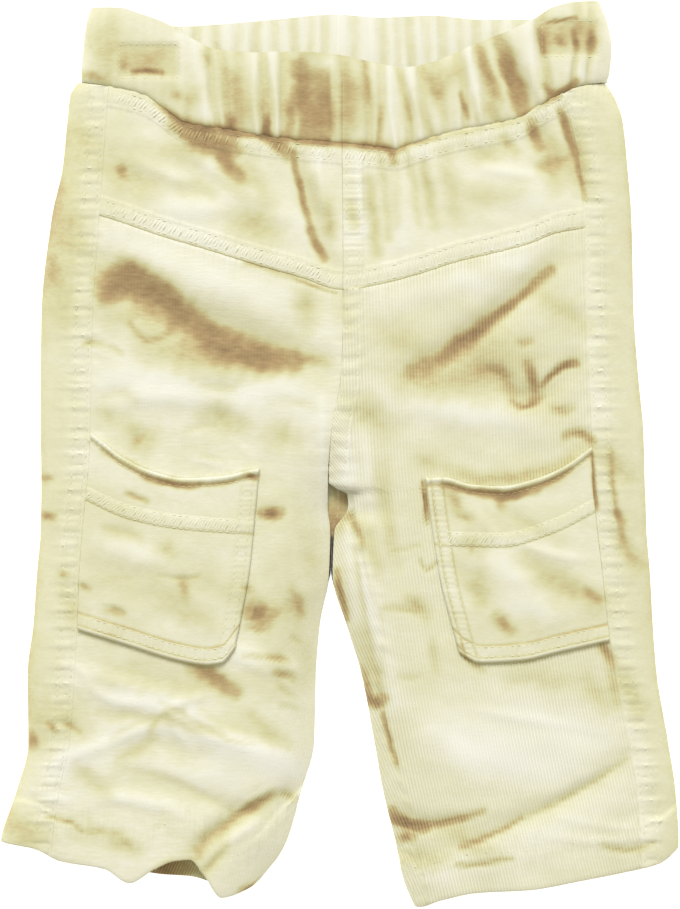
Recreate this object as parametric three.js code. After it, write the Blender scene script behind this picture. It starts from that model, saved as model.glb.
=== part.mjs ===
// Baby cargo trousers in fine-wale corduroy, laid flat on their back on a table.
// Millimetres. +Z is up, +Y runs from the hems to the waist, +X is the observer's right.
// The origin is on the table, under the middle of the garment's outline.
import * as THREE from "three";

// ---- Driving sizes -------------------------------------------------------------------------
const CLOTH = 1.4; // corduroy, one layer
const HEM_CLOTH = 2.2; // hem turned up inside and pressed
const HEM_HEIGHT = 19; // depth of the turned-up hem
const CASING = 2.6; // waistband casing with its elastic
const POCKET_CLOTH = 1.3; // pocket twill, one layer
const SEAM_GAP = 0.3; // clearance between neighbouring pieces
const BAND_GAP = 0.6; // the same below the thick waistband
const SIDE_FOLD = 3.4; // radius of the fold down the side panel
const HEM_FOLD = 4.2; // the same fold where the hem is double
const BAND_FOLD = 5.0; // radius of the fold at each end of the waistband
const CROWN_REACH = 42; // the front layer climbs to full height this far in from a side fold
const INSEAM_REACH = 24; // and this far in from an inside-leg seam
const BACK_SEAM_IN = 20; // the side panel runs this far in under the leg
const FELL_WIDTH = 8.4; // width of the pressed and topstitched seam allowances
const FELL_RAISE = 0.6; // how far such an allowance stands up
const BAND_CROWN = 13.4; // height of the front waistband along its middle
const BAND_ROLL = 0.8; // how far its outer face rounds down at both edges
const POCKET_RIM = 2.4; // width of the rolled edge at a pocket's mouth
const RIM_RAISE = 1.5; // how far the rolled edge stands above the pocket

// ---- Sections across the garment -----------------------------------------------------------
// y: height of the section. lo, ro: the left and right outer folds. ls, rs: the front seams of
// the side panels. li, ri: the inner edges of the two front legs, which meet on the centre-front
// seam above the crotch. crown: height of the front layer along the middle of each half.
const SECTIONS = [
  { y: 156.0, lo: -110.5, ls: -96.5, li: 0.6, ri: 0.6, rs: 91.5, ro: 111.5, crown: 12.0 },
  { y: 151.0, lo: -113.5, ls: -97.0, li: 0.8, ri: 0.8, rs: 93.0, ro: 115.0, crown: 12.0 },
  { y: 140.5, lo: -114.7, ls: -97.8, li: 0.9, ri: 0.9, rs: 96.2, ro: 118.9, crown: 12.2 },
  { y: 120.3, lo: -116.8, ls: -99.2, li: 1.0, ri: 1.0, rs: 100.2, ro: 121.0, crown: 12.6 },
  { y: 100.2, lo: -121.2, ls: -100.6, li: 1.2, ri: 1.2, rs: 102.0, ro: 122.6, crown: 12.8 },
  { y: 60.0, lo: -125.6, ls: -103.3, li: 1.3, ri: 1.3, rs: 103.0, ro: 123.6, crown: 12.8 },
  { y: 32.0, lo: -126.0, ls: -104.0, li: 0.2, ri: 0.2, rs: 104.2, ro: 125.6, crown: 12.4 },
  { y: 9.5, lo: -126.0, ls: -104.4, li: -3.6, ri: -3.6, rs: 105.2, ro: 127.7, crown: 12.0 },
  { y: -12.5, lo: -125.7, ls: -105.8, li: -5.0, ri: -4.8, rs: 106.0, ro: 128.3, crown: 11.7 },
  { y: -16.5, lo: -125.7, ls: -106.2, li: -5.0, ri: 2.8, rs: 106.2, ro: 128.5, crown: 11.6 },
  { y: -22.0, lo: -125.8, ls: -106.8, li: -5.1, ri: 3.4, rs: 106.8, ro: 128.7, crown: 11.5 },
  { y: -32.0, lo: -126.0, ls: -107.8, li: -4.0, ri: -2.4, rs: 107.8, ro: 129.0, crown: 11.4 },
  { y: -50.6, lo: -127.6, ls: -109.2, li: -4.6, ri: -3.2, rs: 110.0, ro: 130.5, crown: 11.2 },
  { y: -71.2, lo: -129.0, ls: -110.0, li: -8.4, ri: 2.6, rs: 112.2, ro: 131.6, crown: 11.0 },
  { y: -91.4, lo: -131.4, ls: -111.0, li: -10.1, ri: 8.8, rs: 115.2, ro: 133.2, crown: 10.8 },
  { y: -121.6, lo: -131.2, ls: -113.4, li: -10.9, ri: 14.6, rs: 121.4, ro: 138.2, crown: 10.6 },
  { y: -141.8, lo: -136.2, ls: -117.6, li: -16.4, ri: 18.2, rs: 124.4, ro: 141.2, crown: 10.6 },
  { y: -163.0, lo: -142.8, ls: -120.5, li: -22.7, ri: 23.4, rs: 126.0, ro: 142.4, crown: 11.0 },
  { y: -178.0, lo: -144.0, ls: -121.5, li: -32.0, ri: 26.6, rs: 126.5, ro: 140.0, crown: 11.0 },
  { y: -190.0, lo: -145.0, ls: -122.0, li: -38.5, ri: 31.5, rs: 127.0, ro: 139.0, crown: 11.0 },
];
const CROTCH_TOP = 12; // the legs start to part from each other here
const CROTCH_LOW = -30; // and are two closed tubes from here down
const CENTRE_BACK = -0.8; // x of the centre-back seam

// ---- Lines across the garment: x and y of the points that each one runs through -------------
const BAND_TOP_FRONT = [
  [-104.6, 187.5], [-92.4, 187.1], [-84, 184.6], [-73.5, 180.8], [-63, 174.5], [-51.7, 169.5],
  [-37.8, 168.2], [-18.9, 168.6], [0, 167], [14.7, 164], [26.5, 161.9], [39.5, 164.4],
  [50.4, 169.1], [66.8, 175.8], [79.8, 181.5], [89, 187.1], [99.1, 189.6], [109, 190.3],
];
const BAND_SEAM_FRONT = [
  [-109.2, 156.2], [-97.4, 154.2], [-82.7, 150.6], [-73.1, 144.3], [-64.7, 138.8], [-48.3, 135.9],
  [-26.5, 132.5], [0.4, 130], [16.8, 128.3], [23.5, 127.6], [30.2, 129.8], [39.9, 132.9],
  [52.1, 135.9], [76, 140.9], [82.7, 145.5], [91.6, 150.2], [100.4, 154.2], [112.1, 156.2],
];
const BAND_TOP_BACK = [
  [-104.6, 187.5], [-88.2, 185], [-79.8, 182.5], [-67.2, 180.4], [-52.1, 181.2], [-31.9, 182.9],
  [-1.7, 185.4], [16.8, 184.2], [38.6, 185], [58.8, 183.3], [79, 183.3], [89, 184.6], [109, 190.3],
];
const BAND_SEAM_BACK = [[-109.2, 155.8], [-80, 150.5], [0, 148.5], [80, 150.5], [112, 155.8]];
const YOKE_LINE = [
  [-126, 105.6], [-100.4, 99.8], [-75.2, 91.4], [-55.4, 85.5], [-33.6, 78.8], [-16.8, 74.1],
  [1.3, 68.7], [17.2, 71.2], [33.2, 75.4], [48.7, 80.4], [66.4, 84.6], [79, 88], [91.1, 92.6],
  [102.1, 94.5], [126, 98.5],
];
const HEM_FRONT = {
  left: [
    [-142.8, -162.8], [-127.7, -165.3], [-117.6, -170.3], [-98.7, -173.7], [-88.2, -179.6],
    [-77.7, -173.7], [-69.3, -170.3], [-63, -169.8], [-56.5, -177], [-49.6, -185.9],
    [-37.8, -182.1], [-27.3, -171.2],
  ],
  right: [
    [27.3, -188.6], [32.8, -190.3], [42, -187.1], [56.7, -183.8], [79.8, -182.5],
    [100.8, -178.7], [117.6, -175.4], [134.4, -171.2], [142.8, -165.3],
  ],
};
const HEM_BACK = {
  left: [
    [-142.8, -163.2], [-127.7, -164.9], [-100.8, -171.2], [-75.6, -176.6], [-63, -177.5],
    [-50.4, -180.8], [-37.8, -181.5], [-27.3, -171.2],
  ],
  right: [
    [27.3, -187.6], [32.8, -189.3], [56.7, -182.8], [79.8, -181.5], [117.6, -174.4],
    [134.4, -170.2], [142.8, -164.8],
  ],
};
const BAND_END = {
  left: [[155, -108.6], [160.7, -108.8], [170.7, -107.9], [180.8, -106.7], [187.5, -104.6]],
  right: [[155, 111.9], [160.7, 113.4], [170.7, 114.2], [180.8, 112.6], [190.3, 109.0]],
};
const POCKETS = {
  left: {
    mouth: [
      [-104.5, 9.5], [-97.5, 4], [-92.4, -0.2], [-79.8, -6.5], [-65.1, -9.9], [-50.4, -9],
      [-33.6, -5.7], [-30, -5.2],
    ],
    inner: [[-5.7, -33.6], [-27.5, -35.7], [-48.5, -37.8], [-65.3, -40.7], [-90, -45.8]],
    base: [
      [-112, -72.6], [-88.2, -80], [-67.2, -86.3], [-56, -88.2], [-49.4, -87.2], [-43.6, -80.5],
    ],
  },
  right: {
    mouth: [
      [32, -9], [35.7, -9.9], [43.3, -9.5], [54.6, -12.4], [67.2, -13.2], [79.8, -10.7],
      [92.4, -5.7], [105.5, 3.4],
    ],
    inner: [[-9.9, 35.7], [-31.7, 38.6], [-52.7, 42], [-69.5, 46.2], [-90, 52]],
    base: [
      [46.6, -79.4], [52.9, -85], [58.8, -87.2], [75.6, -86.3], [92.4, -82.5], [115, -77.5],
    ],
  },
};

// ---- Folds -----------------------------------------------------------------------------------
// Each one runs from (x0, y0) through (x1, y1) to (x2, y2). half is half its width, and rise is
// the height it adds: below zero it is a trough, above zero a ridge.
const FOLDS = [
  { x0: -99, y0: 78, x1: -59, y1: 56, x2: -8, y2: 39, half: 8.0, rise: -3.8 }, // left thigh
  { x0: 89, y0: 81, x1: 63, y1: 57, x2: 30, y2: 35, half: 5.5, rise: -3.2 }, // right thigh
  { x0: -18.5, y0: 130, x1: -12.6, y1: 105, x2: -2.5, y2: 76, half: 3.4, rise: -2.4 }, // yoke
  { x0: -97, y0: 29, x1: -55, y1: 32, x2: -9, y2: 18, half: 9.0, rise: 1.8 },
  { x0: 59, y0: 38, x1: 80, y1: 24, x2: 98, y2: 39, half: 5.0, rise: -2.2 },
  { x0: -110, y0: -94, x1: -67, y1: -108, x2: -20, y2: -133, half: 6.0, rise: 2.6 }, // calf
  { x0: -124, y0: -133, x1: -97, y1: -120, x2: -72, y2: -112, half: 5.5, rise: 2.2 },
  { x0: -101, y0: -124, x1: -80, y1: -121, x2: -60, y2: -127, half: 6.0, rise: -2.0 },
  { x0: -73, y0: -115, x1: -38, y1: -122, x2: -22, y2: -131, half: 5.0, rise: 1.8 },
  { x0: -92, y0: -135, x1: -60, y1: -143, x2: -34, y2: -151, half: 4.5, rise: -2.6 },
  { x0: -24, y0: -143, x1: -44, y1: -152, x2: -61, y2: -167, half: 4.5, rise: -3.0 }, // hem
  { x0: 121, y0: -125, x1: 86, y1: -148, x2: 35, y2: -166, half: 4.0, rise: -2.8 }, // calf
  { x0: 126, y0: -135, x1: 92, y1: -156, x2: 46, y2: -174, half: 8.0, rise: 1.6 },
  { x0: 18, y0: -150, x1: 34, y1: -155, x2: 53, y2: -154, half: 5.0, rise: -2.4 },
  { x0: 4, y0: 6, x1: 7, y1: -38, x2: 23, y2: -103, half: 5.0, rise: 1.5 }, // inside leg
  { x0: 94, y0: 145, x1: 97, y1: 128, x2: 101, y2: 108, half: 3.4, rise: -2.2 }, // right hip
  { x0: 84, y0: 138, x1: 87, y1: 130, x2: 91, y2: 120, half: 4.5, rise: -2.0 },
];
const BAND_FOLDS = [
  { x0: -17, y0: 168, x1: -12, y1: 152, x2: -8, y2: 134, half: 6.0, rise: -2.4 }, // beside the seam
  { x0: 66, y0: 174, x1: 73, y1: 158, x2: 80, y2: 142, half: 4.2, rise: -2.8 }, // right hip
];

// Gathers of the waistband, each along the line from top to foot, which are x at the casing's
// upper edge and at its seam. half is half the width; rise is as in the folds.
const FRONT_GATHERS = [
  { top: -95.0, foot: -96.5, half: 3.2, rise: -0.6 },
  { top: -66.8, foot: -67.0, half: 1.6, rise: 0.9 },
  { top: -59.5, foot: -56.0, half: 3.4, rise: 0.8 },
  { top: -55.5, foot: -51.0, half: 1.9, rise: -1.1 },
  { top: -50.0, foot: -46.0, half: 1.8, rise: -1.2 },
  { top: -43.0, foot: -41.0, half: 2.2, rise: -0.8 },
  { top: -36.0, foot: -35.0, half: 1.7, rise: 0.7 },
  { top: -32.5, foot: -30.5, half: 1.8, rise: -1.2 },
  { top: -27.5, foot: -26.5, half: 1.6, rise: 0.8 },
  { top: -24.0, foot: -22.5, half: 1.8, rise: -1.0 },
  { top: -2.5, foot: -2.0, half: 1.8, rise: 0.8 },
  { top: 10.5, foot: 12.5, half: 2.0, rise: -1.2 },
  { top: 17.5, foot: 16.5, half: 1.6, rise: -0.9 },
  { top: 20.5, foot: 23.0, half: 1.5, rise: 0.8 },
  { top: 24.5, foot: 30.0, half: 1.8, rise: -1.3 },
  { top: 29.0, foot: 34.0, half: 1.7, rise: 0.8 },
  { top: 33.0, foot: 38.0, half: 1.7, rise: -0.9 },
  { top: 40.5, foot: 44.0, half: 2.2, rise: -1.0 },
  { top: 49.5, foot: 53.5, half: 2.0, rise: -1.3 },
  { top: 53.5, foot: 59.0, half: 1.9, rise: 0.9 },
  { top: 57.5, foot: 65.5, half: 2.2, rise: -1.3 },
  { top: 77.5, foot: 84.0, half: 2.4, rise: 0.9 },
  { top: 84.0, foot: 88.0, half: 1.8, rise: -1.3 },
  { top: 100.0, foot: 98.0, half: 1.8, rise: -1.1 },
  { top: 106.0, foot: 104.0, half: 1.8, rise: -0.8 },
];
const BACK_GATHERS = [
  { top: -88.0, foot: -90.0, half: 2.6, rise: -0.8 },
  { top: -77.5, foot: -79.0, half: 2.2, rise: -0.9 },
  { top: -69.0, foot: -70.0, half: 2.0, rise: -0.8 },
  { top: -60.5, foot: -61.0, half: 2.4, rise: -1.0 },
  { top: -52.0, foot: -52.5, half: 2.2, rise: -1.0 },
  { top: -43.0, foot: -44.0, half: 2.0, rise: -0.7 },
  { top: -35.0, foot: -35.0, half: 2.0, rise: -1.1 },
  { top: -27.0, foot: -27.5, half: 1.9, rise: -0.7 },
  { top: -19.5, foot: -19.5, half: 2.0, rise: -1.1 },
  { top: -12.5, foot: -13.0, half: 1.8, rise: -0.8 },
  { top: -6.5, foot: -7.0, half: 1.8, rise: -0.8 },
  { top: 6.0, foot: 5.5, half: 2.2, rise: -0.7 },
  { top: 18.0, foot: 18.0, half: 2.2, rise: -1.0 },
  { top: 24.0, foot: 24.5, half: 1.8, rise: -0.7 },
  { top: 29.5, foot: 30.0, half: 2.0, rise: -1.2 },
  { top: 36.5, foot: 37.0, half: 2.0, rise: -0.7 },
  { top: 43.0, foot: 43.5, half: 2.2, rise: -1.0 },
  { top: 50.0, foot: 51.0, half: 2.0, rise: -0.7 },
  { top: 57.0, foot: 57.5, half: 2.2, rise: -1.0 },
  { top: 66.0, foot: 67.5, half: 2.2, rise: -0.9 },
  { top: 75.0, foot: 77.0, half: 2.4, rise: -0.9 },
  { top: 85.5, foot: 87.5, half: 2.4, rise: -0.8 },
  { top: 95.0, foot: 97.0, half: 2.4, rise: -0.7 },
];
const ELASTIC_BOXES = [
  { x: -79.8, y: 164.5, wide: 25, tall: 14 }, // stitched boxes that hold the elastic's ends
  { x: 96.6, y: 174, wide: 24, tall: 15 },
];
const BOX_SUNK = 0.7;

// ---- Small helpers ---------------------------------------------------------------------------
const clamp = (t, low = 0, high = 1) => Math.min(high, Math.max(low, t));
const mix = (a, b, t) => a + (b - a) * t;
const smooth = (low, high, t) => {
  const s = clamp((t - low) / (high - low));
  return s * s * (3 - 2 * s);
};
const steps = (n, from = 0, to = 1) => Array.from({ length: n + 1 }, (_, i) => mix(from, to, i / n));

// A smooth curve through points, with no overshoot (a monotone cubic), straight past its ends.
function curve(points) {
  const p = [...points].sort((a, b) => a[0] - b[0]);
  const slope = p.slice(1).map((b, i) => (b[1] - p[i][1]) / (b[0] - p[i][0]));
  const tangent = p.map((_, i) => {
    if (i === 0) return slope[0];
    if (i === p.length - 1) return slope[i - 1];
    const [a, b] = [slope[i - 1], slope[i]];
    return a * b <= 0 ? 0 : (2 * a * b) / (a + b);
  });
  return (x) => {
    const last = p.length - 1;
    if (x <= p[0][0]) return p[0][1] + (x - p[0][0]) * tangent[0];
    if (x >= p[last][0]) return p[last][1] + (x - p[last][0]) * tangent[last];
    let i = 0;
    while (x > p[i + 1][0]) i += 1;
    const h = p[i + 1][0] - p[i][0];
    const t = (x - p[i][0]) / h;
    return (
      p[i][1] * (1 + 2 * t) * (1 - t) ** 2 +
      p[i + 1][1] * t * t * (3 - 2 * t) +
      h * (tangent[i] * t * (1 - t) ** 2 - tangent[i + 1] * t * t * (1 - t))
    );
  };
}
const sectionCurve = (key) => curve(SECTIONS.map((row) => [row.y, row[key]]));

const outerX = { left: sectionCurve("lo"), right: sectionCurve("ro") };
const seamX = { left: sectionCurve("ls"), right: sectionCurve("rs") };
const innerX = { left: sectionCurve("li"), right: sectionCurve("ri") };
const crownZ = sectionCurve("crown");
const bandTopFront = curve(BAND_TOP_FRONT);
const bandSeamFront = curve(BAND_SEAM_FRONT);
const bandTopBack = curve(BAND_TOP_BACK);
const bandSeamBack = curve(BAND_SEAM_BACK);
const yokeLine = curve(YOKE_LINE);
const bandEnd = { left: curve(BAND_END.left), right: curve(BAND_END.right) };
const hemFront = { left: curve(HEM_FRONT.left), right: curve(HEM_FRONT.right) };
const hemBack = { left: curve(HEM_BACK.left), right: curve(HEM_BACK.right) };
const outward = { left: -1, right: 1 };

// Height added at (x, y) by a list of folds: each is a soft trough or ridge along a bent line.
const FOLD_STEPS = 8;
function foldHeight(folds, x, y) {
  let height = 0;
  for (const f of folds) {
    const cx = 2 * f.x1 - (f.x0 + f.x2) / 2;
    const cy = 2 * f.y1 - (f.y0 + f.y2) / 2;
    let best = Infinity;
    let at = 0;
    let px = f.x0;
    let py = f.y0;
    for (let i = 1; i <= FOLD_STEPS; i += 1) {
      const t = i / FOLD_STEPS;
      const qx = f.x0 * (1 - t) ** 2 + 2 * cx * t * (1 - t) + f.x2 * t * t;
      const qy = f.y0 * (1 - t) ** 2 + 2 * cy * t * (1 - t) + f.y2 * t * t;
      const along = clamp(((x - px) * (qx - px) + (y - py) * (qy - py)) / ((qx - px) ** 2 + (qy - py) ** 2));
      const gap = Math.hypot(x - mix(px, qx, along), y - mix(py, qy, along));
      if (gap < best) {
        best = gap;
        at = (i - 1 + along) / FOLD_STEPS;
      }
      px = qx;
      py = qy;
    }
    const taper = 0.35 + 0.65 * Math.sin(Math.PI * clamp(at, 0.02, 0.98));
    height += f.rise * taper * Math.exp(-((best / f.half) ** 2));
  }
  return height;
}

// Hemness is 0 on single cloth and 1 on the turned-up hem.
const hemness = (half, x, y) => smooth(HEM_HEIGHT + 1, HEM_HEIGHT - 1, y - hemFront[half](x));
const edgeRadius = (half, x, y) => mix(SIDE_FOLD, HEM_FOLD, hemness(half, x, y));

// Share of the full height at a distance in from a fold of the given radius: it leaves the fold
// as a circle of that radius and levels out at CROWN_REACH.
function climb(distance, radius, crown) {
  const power = (2 * radius * CROWN_REACH) / (crown - radius) ** 2;
  return Math.sqrt(1 - (1 - clamp(distance / CROWN_REACH)) ** power);
}

// Height of the front layer's outer face above the table.
function frontZ(half, x, y) {
  const fromFold = Math.max(0, (outerX[half](y) - x) * outward[half]);
  const fromInner = Math.max(0, (x - innerX[half](y)) * outward[half]);
  const crown = crownZ(y);
  const radius = edgeRadius(half, x, y);
  const body = radius + (crown - radius) * climb(fromFold, radius, crown);
  const lap = mix(CLOTH + CLOTH + 0.1, HEM_CLOTH + HEM_CLOTH, hemness(half, x, y));
  const leg = lap + (body - lap) * (1 - (1 - clamp(fromInner / INSEAM_REACH)) ** 2.2);
  const legness = smooth(CROTCH_TOP, CROTCH_LOW, y);
  const clear = smooth(0, 9, fromFold) * mix(1, smooth(0, 9, fromInner), legness);
  return mix(body, leg, legness) + clear * foldHeight(FOLDS, x, y);
}

// ---- Walls -----------------------------------------------------------------------------------
// A closed wall over a grid. surface(u, v) gives the cloth's outer face, raise(u, v) what stands
// on it and thick(u, v) how far in the inner face lies. Both go along the face's normal without
// its Y part, so that a wall is cut square where it meets the next one up or down the garment.
const NUDGE = 1e-3;
function wall(name, us, vs, surface, { thick, raise = () => 0, facing = 1 }) {
  const outer = [];
  const inner = [];
  for (const v of vs) {
    for (const u of us) {
      const cu = clamp(u, NUDGE, 1 - NUDGE);
      const cv = clamp(v, NUDGE, 1 - NUDGE);
      const du = surface(cu + NUDGE, cv).sub(surface(cu - NUDGE, cv));
      const dv = surface(cu, cv + NUDGE).sub(surface(cu, cv - NUDGE));
      const normal = du.cross(dv).setY(0).normalize().multiplyScalar(facing);
      const p = surface(u, v);
      outer.push(p.clone().addScaledVector(normal, raise(u, v)));
      inner.push(p.clone().addScaledVector(normal, -thick(u, v)));
    }
  }
  for (const p of [...outer, ...inner]) if (p.z < 0.02) p.z = 0; // the underside rests flat
  const wide = us.length;
  const high = vs.length;
  const at = (i, j) => j * wide + i;
  const far = wide * high;
  const index = [];
  const quad = (a, b, c, d) => index.push(a, b, c, a, c, d);
  for (let j = 0; j < high - 1; j += 1) {
    for (let i = 0; i < wide - 1; i += 1) {
      quad(at(i, j), at(i + 1, j), at(i + 1, j + 1), at(i, j + 1));
      quad(far + at(i, j), far + at(i, j + 1), far + at(i + 1, j + 1), far + at(i + 1, j));
    }
  }
  for (let i = 0; i < wide - 1; i += 1) {
    quad(at(i + 1, 0), at(i, 0), far + at(i, 0), far + at(i + 1, 0));
    quad(at(i, high - 1), at(i + 1, high - 1), far + at(i + 1, high - 1), far + at(i, high - 1));
  }
  for (let j = 0; j < high - 1; j += 1) {
    quad(at(0, j), at(0, j + 1), far + at(0, j + 1), far + at(0, j));
    quad(at(wide - 1, j + 1), at(wide - 1, j), far + at(wide - 1, j), far + at(wide - 1, j + 1));
  }
  const points = [...outer, ...inner];
  let volume = 0;
  for (let k = 0; k < index.length; k += 3) {
    const [a, b, c] = [points[index[k]], points[index[k + 1]], points[index[k + 2]]];
    volume += a.dot(new THREE.Vector3().crossVectors(b, c));
  }
  if (volume < 0) index.reverse(); // turns every face round, so that all point out
  const geometry = new THREE.BufferGeometry().setFromPoints(points).setIndex(index);
  geometry.computeVertexNormals();
  return { name, geometry };
}

// A point of a panel between two lines down (x from y) and two lines across (y from x). The two
// depend on each other, so the point is settled in a few rounds.
const SETTLE_ROUNDS = 14;
function between(u, v, { inner, outer, top, bottom }) {
  let x = mix(inner(0), outer(0), u);
  let y = 0;
  for (let i = 0; i < SETTLE_ROUNDS; i += 1) {
    y = mix(top(x), bottom(x), v);
    x = mix(inner(y), outer(y), u);
  }
  return [x, y];
}

// ---- Colours ---------------------------------------------------------------------------------
const IVORY_CORD = new THREE.MeshStandardMaterial({ color: 0xeeecd0, roughness: 0.95, metalness: 0 });
const IVORY_TWILL = new THREE.MeshStandardMaterial({ color: 0xefeed6, roughness: 0.9, metalness: 0 });
const IVORY_CASING = new THREE.MeshStandardMaterial({ color: 0xf0efd9, roughness: 0.9, metalness: 0 });

// ---- Pieces ----------------------------------------------------------------------------------
// Yoke: from the waistband seam down to the V-shaped yoke seam.
function yoke(half) {
  const sign = outward[half];
  const lines = {
    inner: (y) => innerX[half](y) + (sign * SEAM_GAP) / 2,
    outer: (y) => seamX[half](y) - (sign * SEAM_GAP) / 2,
    top: (x) => bandSeamFront(x) - BAND_GAP,
    bottom: (x) => yokeLine(x) + SEAM_GAP / 2,
  };
  const place = (u, v) => between(u, v, lines);
  const surface = (u, v) => {
    const [x, y] = place(u, v);
    return new THREE.Vector3(x, y, frontZ(half, x, y));
  };
  const raise = (u, v) => {
    const [x, y] = place(u, v);
    const overYoke = smooth(FELL_WIDTH + 0.6, FELL_WIDTH - 0.6, y - yokeLine(x));
    const underBand = smooth(FELL_WIDTH + 0.6, FELL_WIDTH - 0.6, bandSeamFront(x) - y);
    const centre = half === "right" ? smooth(FELL_WIDTH + 1, FELL_WIDTH - 0.6, x - innerX.right(y)) : 0;
    return FELL_RAISE * Math.max(overYoke, underBand, centre);
  };
  const vs = [...steps(1, 0, 0.13), ...steps(4, 0.17, 0.82), ...steps(1, 0.86, 1)];
  return wall(`yoke_${half}`, [0, 0.04, 0.08, ...steps(18, 0.12, 1)], vs, surface, { thick: () => CLOTH, raise, facing: -sign });
}

// Front leg: corduroy from the yoke seam to the hem.
function frontLeg(half) {
  const sign = outward[half];
  const lines = {
    inner: (y) => innerX[half](y) + (sign * SEAM_GAP) / 2,
    outer: (y) => seamX[half](y) - (sign * SEAM_GAP) / 2,
    top: (x) => yokeLine(x) - SEAM_GAP / 2,
    bottom: hemFront[half],
  };
  const place = (u, v) => between(u, v, lines);
  const surface = (u, v) => {
    const [x, y] = place(u, v);
    return new THREE.Vector3(x, y, frontZ(half, x, y));
  };
  const thick = (u, v) => mix(CLOTH, HEM_CLOTH, hemness(half, ...place(u, v)));
  const raise = (u, v) => {
    const [x, y] = place(u, v);
    const seam = half === "right" ? smooth(FELL_WIDTH, FELL_WIDTH - 1.6, x - innerX.right(y)) : 0;
    return FELL_RAISE * seam * smooth(-16, -8, y);
  };
  const vs = [...steps(28, 0, 0.92), ...steps(2, 0.945, 1)];
  return wall(`front_leg_${half}`, [0, 0.04, 0.08, 0.13, ...steps(10, 0.2, 1)], vs, surface, { thick, raise, facing: -sign });
}

// The profile of cloth that folds round a side: over the top, round the fold, back underneath.
// q from 0 to 1 runs from topReach in on the top face to underReach in on the table.
const TOP_SHARE = 0.6;
const FOLD_SHARE = 0.8;
const TOP_POWER = 1.7; // spreads the profile's points towards the fold
function roundFold(q, topReach, underReach, radius) {
  if (q <= TOP_SHARE) return { distance: topReach * (1 - q / TOP_SHARE) ** TOP_POWER, lift: null };
  if (q <= FOLD_SHARE) {
    const angle = ((q - TOP_SHARE) / (FOLD_SHARE - TOP_SHARE)) * (Math.PI / 2);
    return { distance: radius * (1 - Math.cos(angle)), lift: radius * (1 - Math.sin(angle)) };
  }
  return { distance: mix(radius, underReach, (q - FOLD_SHARE) / (1 - FOLD_SHARE)), lift: 0 };
}

// Side panel: a strip from the front seam, round the outside of the leg, to the back seam.
function sidePanel(half) {
  const sign = outward[half];
  const place = (q, v) => {
    let y = 0;
    let x = 0;
    let lift = null;
    for (let i = 0; i < SETTLE_ROUNDS; i += 1) {
      const edge = outerX[half](y);
      const reach = Math.abs(edge - seamX[half](y)) - SEAM_GAP / 2;
      const bent = roundFold(q, reach, BACK_SEAM_IN - SEAM_GAP / 2, edgeRadius(half, edge, y));
      x = edge - sign * bent.distance;
      lift = bent.lift;
      const under = smooth(TOP_SHARE, FOLD_SHARE, q);
      const top = mix(bandSeamFront(x), bandSeamBack(x), under) - BAND_GAP;
      const bottom = mix(hemFront[half](x), hemBack[half](x), under);
      y = mix(top, bottom, v);
    }
    return { x, y, lift };
  };
  const surface = (q, v) => {
    const { x, y, lift } = place(q, v);
    return new THREE.Vector3(x, y, lift === null ? frontZ(half, x, y) : lift);
  };
  const raise = (q, v) => {
    const { x, y } = place(q, v);
    const fell = smooth(FELL_WIDTH + 0.8, FELL_WIDTH - 0.8, (x - seamX[half](y)) * sign);
    return q < TOP_SHARE ? FELL_RAISE * fell : 0;
  };
  const thick = (q, v) => {
    const { x, y } = place(q, v);
    return mix(CLOTH, HEM_CLOTH, hemness(half, x, y));
  };
  const qs = [0, 0.1, 0.18, 0.24, 0.34, 0.45, 0.53, ...steps(4, TOP_SHARE, FOLD_SHARE), 0.9, 1];
  const vs = [...steps(19, 0, 0.92), ...steps(2, 0.95, 1)];
  return wall(`side_panel_${half}`, qs, vs, surface, { thick, raise, facing: -sign });
}

// Back: lies on the table from the centre-back seam or inside leg out to the side panel.
function back(half) {
  const sign = outward[half];
  const lines = {
    inner: (y) => {
      const centre = CENTRE_BACK + (sign * SEAM_GAP) / 2;
      return mix(centre, innerX[half](Math.min(y, -30)), smooth(-24, -34, y));
    },
    outer: (y) => outerX[half](y) - sign * (BACK_SEAM_IN + SEAM_GAP / 2),
    top: (x) => bandSeamBack(x) - BAND_GAP,
    bottom: hemBack[half],
  };
  const place = (u, v) => between(u, v, lines);
  const surface = (u, v) => new THREE.Vector3(...place(u, v), 0);
  const thick = (u, v) => {
    const [x, y] = place(u, v);
    return mix(CLOTH, HEM_CLOTH, smooth(HEM_HEIGHT + 1, HEM_HEIGHT - 1, y - hemBack[half](x)));
  };
  const vs = [...steps(20, 0, 0.92), ...steps(2, 0.95, 1)];
  return wall(`back_${half}`, steps(6), vs, surface, { thick, facing: sign });
}

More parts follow.
